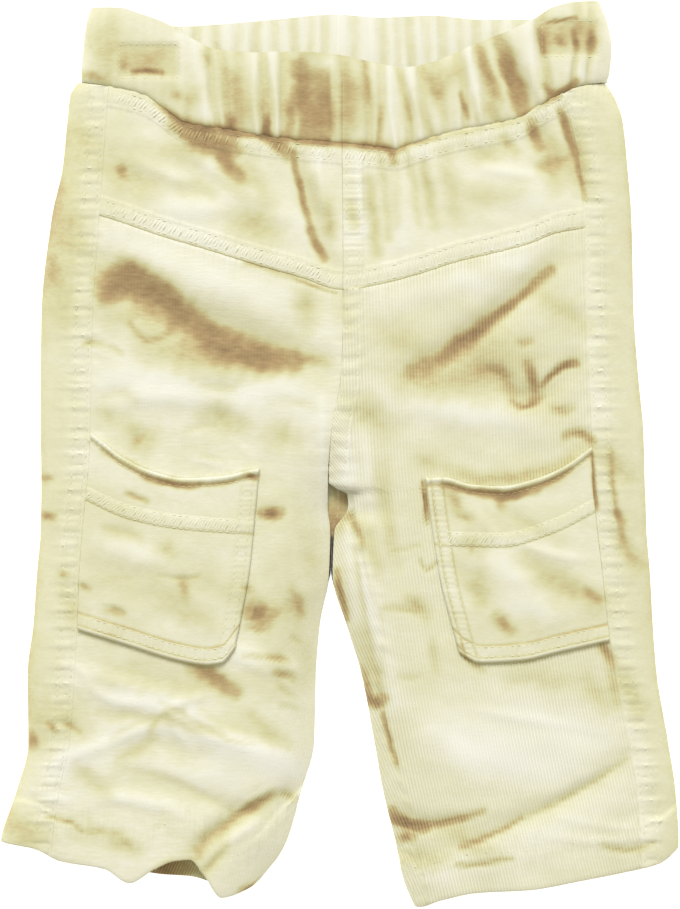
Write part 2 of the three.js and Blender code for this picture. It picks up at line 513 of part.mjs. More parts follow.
// Waistband: half of the gathered casing, from the centre front round the side to centre back.
function gatherHeight(gathers, x, v) {
  const one = (g) => g.rise * Math.exp(-(((x - mix(g.top, g.foot, v)) / g.half) ** 2));
  return gathers.reduce((sum, g) => sum + one(g), 0);
}
function waistband(half) {
  const sign = outward[half];
  const centreFront = innerX[half](bandSeamFront(0)) + (sign * SEAM_GAP) / 2;
  const centreBack = CENTRE_BACK + (sign * SEAM_GAP) / 2;
  const place = (q, v) => {
    let y = bandTopFront(0);
    let x = 0;
    let lift = null;
    for (let i = 0; i < SETTLE_ROUNDS; i += 1) {
      const edge = bandEnd[half](y);
      const bent = roundFold(q, Math.abs(edge - centreFront), Math.abs(edge - centreBack), BAND_FOLD);
      x = edge - sign * bent.distance;
      lift = bent.lift;
      const under = smooth(TOP_SHARE, FOLD_SHARE, q);
      const top = mix(bandTopFront(x), bandTopBack(x), under);
      const bottom = mix(bandSeamFront(x), bandSeamBack(x), under);
      y = mix(top, bottom, v);
    }
    const fromFold = Math.max(0, (bandEnd[half](y) - x) * sign);
    return { x, y, lift, fromFold };
  };
  const surface = (q, v) => {
    const { x, y, lift, fromFold } = place(q, v);
    const top = BAND_FOLD + (BAND_CROWN - BAND_FOLD) * climb(fromFold, BAND_FOLD, BAND_CROWN);
    const folds = smooth(0, 9, fromFold) * foldHeight(BAND_FOLDS, x, y);
    return new THREE.Vector3(x, y, lift === null ? top + folds : lift);
  };
  const rolled = (v) => BAND_ROLL * Math.abs(2 * v - 1) ** 4;
  const raise = (q, v) => {
    if (q > TOP_SHARE) return 0;
    const { x, y, fromFold } = place(q, v);
    const sunk = ELASTIC_BOXES.map(
      (b) => BOX_SUNK * smooth(b.wide / 2 + 1, b.wide / 2 - 1.5, Math.abs(x - b.x)) *
        smooth(b.tall / 2 + 1, b.tall / 2 - 1.5, Math.abs(y - b.y)),
    );
    return (gatherHeight(FRONT_GATHERS, x, v) - rolled(v)) * smooth(0, 6, fromFold) - Math.max(...sunk);
  };
  const thick = (q, v) => {
    if (q < FOLD_SHARE) return CASING;
    const { x, fromFold } = place(q, v);
    return CASING + (gatherHeight(BACK_GATHERS, x, v) - 0.5 * rolled(v)) * smooth(BAND_FOLD, 12, fromFold);
  };
  const onTop = (share) => TOP_SHARE * (1 - (1 - share) ** (1 / TOP_POWER));
  const front = [...steps(40, 0, 0.94).map(onTop), onTop(0.97), onTop(0.99)];
  const under = steps(40, FOLD_SHARE, 1).slice(1);
  const qs = [...front, ...steps(4, TOP_SHARE, FOLD_SHARE), ...under];
  const vs = [0, 0.12, 0.5, 0.88, 1];
  return wall(`waistband_${half}`, qs, vs, surface, { thick, raise, facing: -sign });
}

// Patch pocket: lies on the front leg, sewn into the side seam, with a rolled and curved mouth.
function pocket(half) {
  const sign = outward[half];
  const shape = POCKETS[half];
  const mouth = curve(shape.mouth);
  const lines = {
    inner: curve(shape.inner),
    outer: (y) => seamX[half](y) - sign * (SEAM_GAP + 0.2),
    top: mouth,
    bottom: curve(shape.base),
  };
  const surface = (u, v) => {
    const [x, y] = between(u, v, lines);
    return new THREE.Vector3(x, y, frontZ(half, x, y) + SEAM_GAP + POCKET_CLOTH);
  };
  const raise = (u, v) => {
    const [x, y] = between(u, v, lines);
    const rim = smooth(POCKET_RIM + 0.6, POCKET_RIM - 0.6, mouth(x) - y);
    const hemmed = smooth(0.91, 0.95, v);
    return RIM_RAISE * rim + 0.3 * hemmed + 0.8 * Math.sin(Math.PI * u) * Math.sin(Math.PI * v);
  };
  const vs = [0, 0.022, 0.045, ...steps(8, 0.12, 0.9), 0.95, 1];
  return wall(`pocket_${half}`, steps(12), vs, surface, { thick: () => POCKET_CLOTH, raise, facing: -sign });
}

// ---- The garment -----------------------------------------------------------------------------
const trousers = new THREE.Group();
const add = ({ name, geometry }, material) => {
  const mesh = new THREE.Mesh(geometry, material);
  mesh.name = name;
  trousers.add(mesh);
};
for (const half of ["left", "right"]) {
  add(waistband(half), IVORY_CASING);
  add(yoke(half), IVORY_TWILL);
  add(frontLeg(half), IVORY_CORD);
  add(sidePanel(half), IVORY_TWILL);
  add(back(half), IVORY_CORD);
  add(pocket(half), IVORY_TWILL);
}

export default trousers;
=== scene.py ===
# %% [markdown]
# # Baby's corduroy trousers, laid flat
# A small pair of cream trousers lies on its back on a table: fine corduroy legs, smooth twill side
# panels, a V-seamed yoke, two patch pockets and a gathered elastic waist. Every piece of cloth is
# a thin wall on a grid of points that numpy works out. This first cell loads the plain solids,
# which give the true size and place of each piece.

# %% Load the frame
import math
from collections import namedtuple
from functools import partial

import bpy
import numpy as np
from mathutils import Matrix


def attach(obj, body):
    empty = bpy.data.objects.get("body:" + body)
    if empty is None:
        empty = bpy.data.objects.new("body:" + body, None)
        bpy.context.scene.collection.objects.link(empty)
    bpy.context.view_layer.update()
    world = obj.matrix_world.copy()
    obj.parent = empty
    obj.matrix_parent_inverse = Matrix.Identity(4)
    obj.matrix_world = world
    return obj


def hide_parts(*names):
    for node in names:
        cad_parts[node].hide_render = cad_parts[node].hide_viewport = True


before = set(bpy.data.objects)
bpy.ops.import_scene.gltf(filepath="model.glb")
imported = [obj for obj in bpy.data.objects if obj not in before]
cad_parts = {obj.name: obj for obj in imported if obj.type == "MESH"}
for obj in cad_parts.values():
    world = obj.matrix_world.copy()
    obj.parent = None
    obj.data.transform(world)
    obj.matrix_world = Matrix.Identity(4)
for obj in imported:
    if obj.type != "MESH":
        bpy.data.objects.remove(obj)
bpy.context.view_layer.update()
MM = 0.001
print("solids:", sorted(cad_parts))

# %% [markdown]
# ## The camera
# The camera looks straight down from above the middle of the garment, with the waist at the top
# of the view. Its lens is worked out from the width that one pixel should cover at the height
# where most of the cloth lies, so sizes in the view are easy to check against a ruler.

# %% Camera
PIXELS_HIGH = 909
MM_PER_PIXEL = 0.42
CAMERA_HEIGHT = 1500.0  # mm above the table
CLOTH_LEVEL = 6.0  # mm, the height at which a pixel covers MM_PER_PIXEL
SENSOR = 36.0

camera_data = bpy.data.cameras.new("camera_above")
camera_data.sensor_width = SENSOR
camera_data.lens = SENSOR * (CAMERA_HEIGHT - CLOTH_LEVEL) / (PIXELS_HIGH * MM_PER_PIXEL)
camera = bpy.data.objects.new("camera_above", camera_data)
camera.location = (0, 0, CAMERA_HEIGHT * MM)
bpy.context.scene.collection.objects.link(camera)
bpy.context.scene.camera = camera
print("lens", round(camera_data.lens, 1), "mm")

# %% [markdown]
# ## Sizes
# A maker would draw the flat garment as a few sections across it, with the seams marked, and the
# lines that run across: the waist seam, the V of the yoke, the pocket mouths and the hems. These
# are the same sizes as the solids have, in millimetres: x to the right, y towards the waist and z
# up from the table.

# %% Sizes and seam lines
CLOTH, HEM_CLOTH, CASING, POCKET_CLOTH = 1.4, 2.2, 2.6, 1.3
HEM_HEIGHT = 19.0
SEAM_GAP, BAND_GAP = 0.04, 0.1  # the sewn cloth all but meets at its seams
SIDE_FOLD, HEM_FOLD, BAND_FOLD = 3.4, 4.2, 5.0
CROWN_REACH, INSEAM_REACH = 42.0, 24.0
BACK_SEAM_IN = 20.0
BAND_CROWN = 13.4
CENTRE_BACK = -0.8
CROTCH_TOP, CROTCH_LOW = 12.0, -30.0

# y of each section, x of the left outer fold, seam and inner edge, the same for the right half from
# its inner edge outwards, and the height of the crown
Section = namedtuple("Section", "y lo ls li ri rs ro crown")
SECTION_ROWS = [
    (156, -110.5, -96.5, 0.6, 0.6, 91.5, 111.5, 12),
    (151, -113.5, -97, 0.8, 0.8, 93, 115, 12),
    (140.5, -114.7, -97.8, 0.9, 0.9, 96.2, 118.9, 12.2),
    (120.3, -116.8, -99.2, 1, 1, 100.2, 121, 12.6),
    (100.2, -121.2, -100.6, 1.2, 1.2, 102, 122.6, 12.8),
    (60, -125.6, -103.3, 1.3, 1.3, 103, 123.6, 12.8),
    (32, -126, -104, 0.2, 0.2, 104.2, 125.6, 12.4),
    (9.5, -126, -104.4, -3.6, -3.6, 105.2, 127.7, 12),
    (-12.5, -125.7, -105.8, -5, -4.8, 106, 128.3, 11.7),
    (-16.5, -125.7, -106.2, -5, 2.8, 106.2, 128.5, 11.6),
    (-22, -125.8, -106.8, -5.1, 3.4, 106.8, 128.7, 11.5),
    (-32, -126, -107.8, -4, -2.4, 107.8, 129, 11.4),
    (-50.6, -127.6, -109.2, -4.6, -3.2, 110, 130.5, 11.2),
    (-71.2, -129, -110, -8.4, 2.6, 112.2, 131.6, 11),
    (-91.4, -131.4, -111, -10.1, 8.8, 115.2, 133.2, 10.8),
    (-121.6, -131.2, -113.4, -10.9, 14.6, 121.4, 138.2, 10.6),
    (-141.8, -136.2, -117.6, -16.4, 18.2, 124.4, 141.2, 10.6),
    (-163, -142.8, -120.5, -22.7, 23.4, 126, 142.4, 11),
    (-178, -144, -121.5, -32, 26.6, 126.5, 140, 11),
    (-190, -145, -122, -38.5, 31.5, 127, 139, 11),
]
SECTIONS = [Section(*row) for row in SECTION_ROWS]
BAND_TOP_FRONT = [
    (-104.6, 187.5), (-92.4, 187.1), (-84, 184.6), (-73.5, 180.8), (-63, 174.5), (-51.7, 169.5),
    (-37.8, 168.2), (-18.9, 168.6), (0, 167), (14.7, 164), (26.5, 161.9), (39.5, 164.4),
    (50.4, 169.1), (66.8, 175.8), (79.8, 181.5), (89, 187.1), (99.1, 189.6), (109, 190.3),
]
BAND_SEAM_FRONT = [
    (-109.2, 156.2), (-97.4, 154.2), (-82.7, 150.6), (-73.1, 144.3), (-64.7, 138.8),
    (-48.3, 135.9), (-26.5, 132.5), (0.4, 130), (16.8, 128.3), (23.5, 127.6), (30.2, 129.8),
    (39.9, 132.9), (52.1, 135.9), (76, 140.9), (82.7, 145.5), (91.6, 150.2), (100.4, 154.2),
    (112.1, 156.2),
]
BAND_TOP_BACK = [
    (-104.6, 187.5), (-88.2, 185), (-79.8, 182.5), (-67.2, 180.4), (-52.1, 181.2), (-31.9, 182.9),
    (-1.7, 185.4), (16.8, 184.2), (38.6, 185), (58.8, 183.3), (79, 183.3), (89, 184.6),
    (109, 190.3),
]
BAND_SEAM_BACK = [(-109.2, 155.8), (-80, 150.5), (0, 148.5), (80, 150.5), (112, 155.8)]
YOKE_LINE = [
    (-126, 105.6), (-100.4, 99.8), (-75.2, 91.4), (-55.4, 85.5), (-33.6, 78.8), (-16.8, 74.1),
    (1.3, 68.7), (17.2, 71.2), (33.2, 75.4), (48.7, 80.4), (66.4, 84.6), (79, 88), (91.1, 92.6),
    (102.1, 94.5), (126, 98.5),
]
HEM_FRONT = {
    "left": [
        (-142.8, -162.8), (-127.7, -165.3), (-117.6, -170.3), (-98.7, -173.7), (-88.2, -179.6),
        (-77.7, -173.7), (-69.3, -170.3), (-63, -169.8), (-56.5, -177), (-49.6, -185.9),
        (-37.8, -182.1), (-27.3, -171.2),
    ],
    "right": [
        (27.3, -188.6), (32.8, -190.3), (42, -187.1), (56.7, -183.8), (79.8, -182.5),
        (100.8, -178.7), (117.6, -175.4), (134.4, -171.2), (142.8, -165.3),
    ],
}
HEM_BACK = {
    "left": [
        (-142.8, -163.2), (-127.7, -164.9), (-100.8, -171.2), (-75.6, -176.6), (-63, -177.5),
        (-50.4, -180.8), (-37.8, -181.5), (-27.3, -171.2),
    ],
    "right": [
        (27.3, -187.6), (32.8, -189.3), (56.7, -182.8), (79.8, -181.5), (117.6, -174.4),
        (134.4, -170.2), (142.8, -164.8),
    ],
}
BAND_END = {
    "left": [(155, -108.6), (160.7, -108.8), (170.7, -107.9), (180.8, -106.7), (187.5, -104.6)],
    "right": [(155, 111.9), (160.7, 113.4), (170.7, 114.2), (180.8, 112.6), (190.3, 109.0)],
}
POCKET_MOUTH = {
    "left": [
        (-104.5, 9.5), (-97.5, 4), (-92.4, -0.2), (-79.8, -6.5), (-65.1, -9.9), (-50.4, -9),
        (-33.6, -5.7), (-30, -5.2),
    ],
    "right": [
        (32, -9), (35.7, -9.9), (43.3, -9.5), (54.6, -12.4), (67.2, -13.2), (79.8, -10.7),
        (92.4, -5.7), (105.5, 3.4),
    ],
}
POCKET_INNER = {  # x from y
    "left": [(-5.7, -33.6), (-27.5, -35.7), (-48.5, -37.8), (-65.3, -40.7), (-90, -45.8)],
    "right": [(-9.9, 35.7), (-31.7, 38.6), (-52.7, 42), (-69.5, 46.2), (-90, 52)],
}
POCKET_BASE = {
    "left": [
        (-112, -72.6), (-88.2, -80), (-67.2, -86.3), (-56, -88.2), (-49.4, -87.2), (-43.6, -80.5),
    ],
    "right": [
        (46.6, -79.4), (52.9, -85), (58.8, -87.2), (75.6, -86.3), (92.4, -82.5), (115, -77.5),
    ],
}
POCKET_BAND = {  # upper edge of the stitched band across each pocket
    "left": [(-108, -12.5), (-88.2, -21.2), (-67.2, -25.4), (-36, -27.8)],
    "right": [(37, -31.6), (50, -32.6), (67.2, -33), (88.2, -27.5), (107, -18.2)],
}
INSEAM_RIGHT = [  # x from y: the inside-leg seam, which rolls a little way onto the right front
    (-12.4, 3.8), (-23, 5.5), (-31.7, 6.3), (-39, 8), (-48.5, 10.9), (-59.4, 13.9), (-67.4, 16.8),
    (-78, 18), (-90.5, 17.6), (-99, 16.8), (-107.7, 17.6), (-122, 21), (-137.6, 25.6),
    (-149, 28.6), (-162, 30.2), (-174.5, 33.6), (-189, 37),
]

# %% [markdown]
# ## Small helpers
# Everything below works on whole arrays. `smooth` is the usual S-shaped step. `curve` joins a few
# points by a line that never swings past them, which suits seams better than a plain spline.

# %% Helpers
def mix(a, b, t):
    """a where t is 0, b where t is 1, and a straight blend between."""
    return a + (b - a) * t


def smooth(low, high, t):
    """0 below low, 1 above high, and 3s^2 - 2s^3 of the way s between them."""
    s = np.clip((np.asarray(t, float) - low) / (high - low), 0, 1)
    return s * s * (3 - 2 * s)


def curve(points):
    """A monotone cubic: each tangent is the harmonic mean of the two slopes that meet there."""
    table = np.array(sorted(points), float)
    px, py = table[:, 0], table[:, 1]
    slope = np.diff(py) / np.diff(px)
    product = slope[:-1] * slope[1:]
    total = np.where(product > 0, slope[:-1] + slope[1:], 1.0)
    inside = np.where(product > 0, 2 * product / total, 0.0)
    tangent = np.concatenate([slope[:1], inside, slope[-1:]])

    def at(x):
        x = np.asarray(x, float)
        i = np.clip(np.searchsorted(px, x) - 1, 0, len(px) - 2)
        h = px[i + 1] - px[i]
        t = np.clip((x - px[i]) / h, 0, 1)
        y = py[i] * (1 + 2 * t) * (1 - t) ** 2 + py[i + 1] * t * t * (3 - 2 * t)
        y += h * (tangent[i] * t * (1 - t) ** 2 - tangent[i + 1] * t * t * (1 - t))
        y += tangent[0] * np.minimum(x - px[0], 0) + tangent[-1] * np.maximum(x - px[-1], 0)
        return y

    return at


def darker(tone, mark):
    """A darker mark, stain and painted shade alike, takes its share of what is still light: 1 - (1 -
    tone) * (1 - mark).
    """
    return 1 - (1 - tone) * (1 - mark)


def section_curve(column):
    """The curve along y of one column of SECTIONS."""
    return curve([(row.y, getattr(row, column)) for row in SECTIONS])


def curves(tables):
    """One curve for each half of the garment."""
    return {half: curve(points) for half, points in tables.items()}


OUTWARD = {"left": -1.0, "right": 1.0}
outer_x = {"left": section_curve("lo"), "right": section_curve("ro")}
seam_x = {"left": section_curve("ls"), "right": section_curve("rs")}
inner_x = {"left": section_curve("li"), "right": section_curve("ri")}
crown_z = section_curve("crown")
band_top_front, band_seam_front = curve(BAND_TOP_FRONT), curve(BAND_SEAM_FRONT)
band_top_back, band_seam_back = curve(BAND_TOP_BACK), curve(BAND_SEAM_BACK)
yoke_line = curve(YOKE_LINE)
inseam_right = curve(INSEAM_RIGHT)
band_end, hem_front, hem_back = curves(BAND_END), curves(HEM_FRONT), curves(HEM_BACK)
pocket_mouth, pocket_inner = curves(POCKET_MOUTH), curves(POCKET_INNER)
pocket_base, pocket_band = curves(POCKET_BASE), curves(POCKET_BAND)
print("waist", round(float(band_end["right"](170) - band_end["left"](170))), "mm flat")

# %% [markdown]
# ## Folds, creases and marks
# Cloth that has been washed, folded and laid out again keeps soft troughs and ridges, and this pair has
# yellowed and browned along them in part; the rest of the darkening there is painted shade in the
# troughs. Each row is one stroke: it runs from (x0, y0) through (x1, y1) to (x2, y2), `half` is half its
# width, `rise` is the height it adds (a trough is below zero) and `tone` is how dark the mark on it is,
# up to 1. A tone below zero is a painted highlight, which makes the place lighter than the rest.

# %% Large folds
Stroke = namedtuple("Stroke", "x0 y0 x1 y1 x2 y2 half rise tone", defaults=(0.0,))


def strokes(*rows):
    """Rows of numbers as strokes."""
    return [Stroke(*row) for row in rows]


FOLDS = strokes(  # the large ones, which the solids have as well
    (-99, 78, -59, 56, -8, 39, 8, -3.8), (89, 81, 63, 57, 30, 35, 5.5, -3.2),
    (-18.5, 130, -12.6, 105, -2.5, 76, 3.4, -2.4), (-97, 29, -55, 32, -9, 18, 9, 1.8),
    (59, 38, 80, 24, 98, 39, 5, -2.2), (-110, -94, -67, -108, -20, -133, 6.5, 1.7),
    (-124, -133, -97, -121, -72, -112, 6.5, 1.5), (-101, -124, -80, -121, -60, -127, 6, -2),
    (-73, -115, -38, -122, -22, -131, 6, 1), (-92, -135, -60, -143, -34, -151, 5, -1.8),
    (-24, -143, -44, -152, -61, -167, 4.5, -3), (121, -125, 86, -148, 35, -166, 4.6, -2),
    (126, -135, 92, -156, 46, -174, 8, 0.9), (18, -150, 34, -155, 53, -154, 5, -2.4),
    (4, 6, 7, -38, 23, -103, 5, 1.5), (94, 145, 97, 128, 101, 108, 3.4, -2.2),
    (84, 138, 87, 130, 91, 120, 4.5, -2),
)
print(len(FOLDS), "large folds")

# %% [markdown]
# ## Creases and marks on the legs
# The creases are small and most are troughs. A row without a rise is a flat mark; these are stains and
# painted shade, and with a tone below zero painted highlights. They come in the order in which they were
# placed: first the creases, then what they left out.

# %% Creases and marks
CREASES = strokes(
    # left thigh
    (-98, 70, -88, 74.5, -78, 70.5, 6.2, -0.2, 1), (-95, 67, -86, 68.5, -77, 65, 5, 0, 1),
    (-77, 68, -69, 61.5, -63, 56, 5.6, -0.2, 1), (-70.5, 61, -69.5, 56, -69, 53, 3.6, 0, 0.9),
    (-63, 56, -54, 50.5, -45, 47.5, 4.8, -0.3, 1), (-80, 43, -66, 40, -50, 38, 5, 0, 0.22),
    (-51, 44.5, -36, 41, -20, 38.4, 5.4, -0.2, 1), (-10, 56, -5, 46, 1, 36, 6, 0.5),
    (-20, 41, -12, 40, -6, 38, 2.4, 0, 0.5), (-63, 48, -56, 45.5, -50, 43, 3.4, 0, 0.55),
    (-86, 82, -60, 66, -24, 52, 6, 0.2, 0.08), (-80, 60, -75, 57, -70, 54, 3, 0, 0.6),
    (-50, 52, -40, 47.5, -28, 44.5, 3.2, 0, 0.6), (-88, 54.5, -80, 48, -70.5, 52, 1.7, -0.2, 0.6),
    (-84, 60, -60, 42, -36, 35, 5, 0, 0.3), (-56, 46, -46, 43, -34, 41, 3.4, 0, 0.5),
    (-96, 90, -66, 76, -20, 62, 7, 1), (-97, 20, -70, 24, -35, 17, 4, 0.9),
    (-60, 31, -50, 28, -40, 30, 3, -0.5, 0.18), (-86, 9, -84, 7.5, -81, 6, 5, -0.6, 0.5),
    (-53, 17, -49, 16, -44, 13, 6, -0.7, 0.4), (-27, 9, -24, 7, -20, 6, 5.5, -0.4, 0.38),
    (-99, 16, -97, 16, -94, 15, 4.5, -0.3, 0.28), (-14, 66, -14, 62, -13, 56, 5, -0.4, 0.36),
    (-40, 80, -21, 74.4, -2, 67.4, 0.9, -0.4, 0.7), (-107, 46, -104, 46.5, -100, 46, 1.4, -0.5, 0.6),
    (-98, 46, -94, 44, -91, 42, 1.2, -0.4, 0.3),
    # left yoke
    (-20, 126, -16, 109, -12, 93, 1.6, -0.9, 0.8), (-12, 94, -9.5, 87, -6.5, 82, 2.1, -0.9, 0.9),
    (-5, 105, -4.5, 98, -3.5, 91, 2.4, -0.3, 0.4), (-76, 147, -68, 140.5, -60, 136.6, 2, -0.3, 0.8),
    (-68, 138, -58, 134, -46, 133, 4.2, -0.3, 0.95), (-60, 132.5, -52, 130, -43, 127.5, 3, -0.2, 0.8),
    (-68, 129, -60, 127, -54, 125, 2.6, -0.2, 0.4), (-66, 132.5, -58, 130, -50, 127, 0.9, 0, 0.7),
    (-50, 128, -47.5, 123, -43, 116.5, 3.2, -0.5, 0.8),
    (-46, 134, -36, 133.6, -27, 131.8, 1.6, -0.3, 0.82),
    (-30, 133, -25.5, 129.5, -21, 124.5, 3.3, -0.4, 0.95),
    (-18, 131, -8, 130.5, 0, 129.6, 1.5, -0.3, 0.85),
    (-91.5, 120, -91, 118.5, -90.5, 117, 2.2, -0.6, 0.75), (-92, 118, -86, 114, -80, 113, 8, -0.4, 0.3),
    (-66, 112, -60, 112, -54, 109, 3.4, -0.5, 0.24), (-42, 98, -36, 96, -28, 92, 5.6, -0.5, 0.36),
    (-80, 107, -60, 103, -38, 108, 5, 0.8), (-90, 124, -70, 116, -48, 108, 3, 0.6),
    (-98, 130, -92, 122, -88, 112, 10, -0.3, 0.2), (-84, 128, -74, 127, -62, 122, 4, 0, 0.24),
    (-50, 116, -45, 112, -40, 108, 3, 0, 0.2), (-76, 112, -64, 108, -50, 106, 6, -0.2, 0.06),
    (-40, 124, -36, 116, -30, 104, 4, -0.4, 0.24), (-30, 104, -20, 98, -14, 92, 5, 0.5),
    (-66, 128, -54, 120, -44, 110, 3.4, 0.7), (-9, 128, -8, 112, -4, 98, 2.2, 0.9),
    # right yoke
    (7, 126, 8.4, 110, 10, 92, 2, 0.8), (17, 124, 19, 108, 20.5, 90, 1.8, -0.5, 0.28),
    (28, 126, 31, 112, 33, 96, 1.8, -0.4, 0.26), (44, 126, 46, 112, 48, 98, 4, -0.4, 0.26),
    (52, 112, 62, 108, 74, 110, 5, -0.3, 0.26), (86, 136, 88, 124, 90, 112, 4.5, -0.4, 0.3),
    (60, 120, 70, 118, 84, 116, 2.6, 0.6), (0, 131, 12, 129.6, 24, 129.4, 1.7, -0.3, 0.85),
    (20, 130, 21.6, 127, 22.6, 123, 2.2, -0.4, 0.85), (24, 129.4, 32, 130.6, 41, 132.6, 1.3, -0.2, 0.66),
    (12.5, 114, 14, 98, 15.5, 84, 2.5, -0.7, 0.42), (23, 120, 25, 104, 27, 88, 3, 0.8),
    (35, 121, 37.5, 108, 39.5, 96, 2.6, -0.7, 0.4), (5, 104, 5.5, 99, 6, 96, 2.4, -0.2, 0.4),
    (80, 138.5, 81.5, 134, 83, 129, 2.8, -0.8, 0.85), (69, 132, 71, 129, 73, 127, 2.6, -0.4, 0.5),
    (92, 143.6, 95.4, 135, 98.4, 125, 2, -0.8, 0.95), (98, 126, 100.4, 117, 102.4, 107, 1.2, -0.5, 0.75),
    (55, 127, 60, 126, 66, 127.5, 4, -0.4, 0.34), (84, 120, 90, 122, 95, 124, 2.4, -0.5, 0.45),
    (86, 130, 96, 120, 104, 112, 5, 0, 0.26), (50, 116, 68, 110, 90, 108, 7, 0.8),
    # right thigh
    (88.8, 77.4, 69.3, 61, 48.6, 44.4, 2.4, -0.4, 0.86), (60, 54, 46.4, 42.8, 31, 34.4, 3.8, -0.3, 0.84),
    (68, 46, 50, 34, 28, 29, 7.4, 0, 0.34), (62, 44, 70, 38, 78, 40, 7, 0, 0.24),
    (59, 35.4, 67, 34.6, 71, 28.6, 2.4, -0.7, 0.68), (78.2, 37.4, 81, 30.6, 81, 23, 2.4, -0.7, 0.72),
    (71.6, 22.4, 78, 20.2, 85, 24.6, 1.3, -0.6, 0.72), (84.6, 28.6, 90.4, 34.6, 99, 38, 1.3, -0.9, 0.8),
    (91.4, 36.2, 94.6, 37.4, 98.8, 38.2, 1.9, -0.3, 0.7), (90, 19, 93, 18.5, 97, 19, 1.9, -0.5, 0.6),
    (75, 47.5, 77, 47, 80, 47.5, 1.8, -0.4, 0.5), (94, 60, 99, 57, 102, 52, 4, -0.3, 0.16),
    (10, 19, 14, 15.5, 19, 11, 5.5, -0.5, 0.26), (33, -2, 36, -3, 40, -3, 4, -0.2, 0.28),
    (94, 7.6, 101, 8.8, 106, 5.2, 1.9, -0.6, 0.76), (17, 64, 50, 72, 84, 86, 6, 0.8),
    (21, 22, 59, 17, 92, 10, 7, 1.3), (20, 50, 28, 46, 36, 41, 6, 0, 0.22),
    # left pocket
    (-99, 1.5, -88, -4.6, -80.6, -8.9, 1.5, -0.2, 0.65),
    (-82, -8.6, -71, -12, -59, -12.6, 1.9, -0.4, 0.95),
    (-59, -12.4, -50, -12.4, -41, -9.4, 1.1, -0.2, 0.6),
    (-39.5, -8.6, -37.5, -9, -35.5, -10, 1.5, -0.3, 0.95),
    (-89, -16.6, -85.5, -17.6, -81, -19.4, 1.4, -0.4, 0.65),
    (-32, -24.4, -29, -24.4, -25, -24.6, 2.6, -0.8, 0.95),
    (-36.5, -66, -34, -66.6, -30, -67, 4.5, -0.9, 1), (-39, -72.5, -35, -73, -30, -73.2, 1.5, -0.3, 0.6),
    (-25, -62, -22, -63, -18, -64, 3.5, -0.3, 0.36), (-40, -55.6, -39, -56, -37, -56.5, 1.5, -0.3, 0.55),
    (-66, -52, -65, -56, -65, -60, 2.2, -0.2, 0.56), (-74, -39, -72, -40, -70, -42, 3.4, -0.3, 0.4),
    (-108.6, -54.8, -107, -55.4, -105, -56.6, 1.5, -0.3, 0.62),
    (-97, -64.6, -94.5, -65.2, -91, -66.6, 1.9, -0.3, 0.5),
    (-98, -30.6, -91, -32.6, -84, -35, 2.3, -0.3, 0.3), (-103, -47, -88, -52, -58, -50, 8, -0.3, 0.2),
    (-100, -38, -86, -42, -70, -46, 5, 0.7), (-72, -62, -64, -66, -56, -70, 5, -0.3, 0.3),
    # left side panel
    (-126, -9.8, -123.5, -10, -121, -10, 1.6, -0.4, 0.6),
    (-125, -25.6, -122.5, -26, -120, -26.4, 1.9, -0.5, 0.72),
    (-117.5, -49.8, -116, -50, -114.4, -50.4, 1.7, -0.3, 0.6),
    (-122, 82, -120.5, 78, -119, 74, 3, -0.3, 0.42), (-124, 120, -120, 112, -119, 100, 4, -0.3, 0.24),
    # left calf
    (-62, -89.6, -53, -93.6, -44, -99.6, 3.6, -0.8, 0.82),
    (-29.5, -84.4, -26, -85, -22, -86.2, 1.5, -0.4, 0.6), (-27, -91, -24, -92, -20, -94, 2.2, -0.4, 0.56),
    (-114, -88, -85, -97, -60, -101, 2.6, 0.6), (-45, -80, -33, -85, -19, -89, 2.6, 1),
    (-119, -127, -98, -121.5, -72, -109, 2.4, 0.55), (-70, -110, -55, -117.5, -30, -125, 2.2, 0.5),
    (-66, -108, -50, -118, -36, -121, 1.2, -0.3, 0.2),
    (-122, -113, -120.4, -114.4, -119, -116, 1.5, -0.3, 0.6),
    (-115, -113, -112.5, -113.6, -109, -115.8, 1.3, -0.5, 0.56),
    (-129.5, -117, -129, -119.6, -128.4, -122.4, 2.3, -0.4, 0.78),
    (-92, -128, -85, -124, -78, -119, 2.4, -0.3, 0.3), (-80, -118, -75, -110, -66, -107, 1.6, -0.3, 0.26),
    (-110, -131, -105, -136, -98, -141, 3.4, -0.4, 0.26),
    (-90, -132, -70, -137, -46, -149, 1.8, -0.4, 0.16), (-46, -149, -40, -150, -34, -148, 1.2, -0.4, 0.3),
    (-28, -142.5, -34, -146, -40, -149.5, 1.9, -0.5, 0.72),
    (-39, -148.5, -49, -156, -60, -164.5, 2.6, -0.9, 0.6),
    (-33, -145.6, -37.5, -148.6, -43, -152.6, 2.2, 0, 0.55),
    (-56, -163, -60, -169, -64, -174, 2.6, 0, 0.4), (-24, -139, -36, -144, -48, -153, 1.3, 0.8),
    (-25, -142, -22, -143, -19.4, -144.6, 1.2, -0.6, 0.62),
    (-123, -152, -115, -153, -108, -158, 0.9, -0.7, 0.62),
    (-110, -157, -104, -158, -99, -157.4, 0.9, -0.4, 0.4),
    (-104, -156.6, -98, -158, -92, -159, 1.6, -0.4, 0.34),
    (-94, -161.6, -90, -163.4, -86, -164.6, 2.8, -0.4, 0.4),
    (-130, -140, -122, -143, -112, -144, 2.4, 0.8), (-70, -113, -67, -118, -62, -124, 2, 0.5),
    (-108, -148, -90, -143, -66, -149, 3, 0.5), (-78, -175.4, -70, -171.6, -60, -173.6, 2.2, 0.6, 0.5),
    (-41.5, -183, -38.6, -182.4, -36, -181.2, 1.7, -0.2, 0.92),
    (-58, -176, -53, -171, -48, -164, 2.4, -0.9, 0.4), (-107, -92, -98, -102, -78, -104.5, 1.8, 0.7),
    (-72, -106.5, -64, -103, -55, -101.5, 2.2, 0.9),
    (-100, -108.5, -84, -110, -70, -111.5, 2.4, -0.6, 0.3),
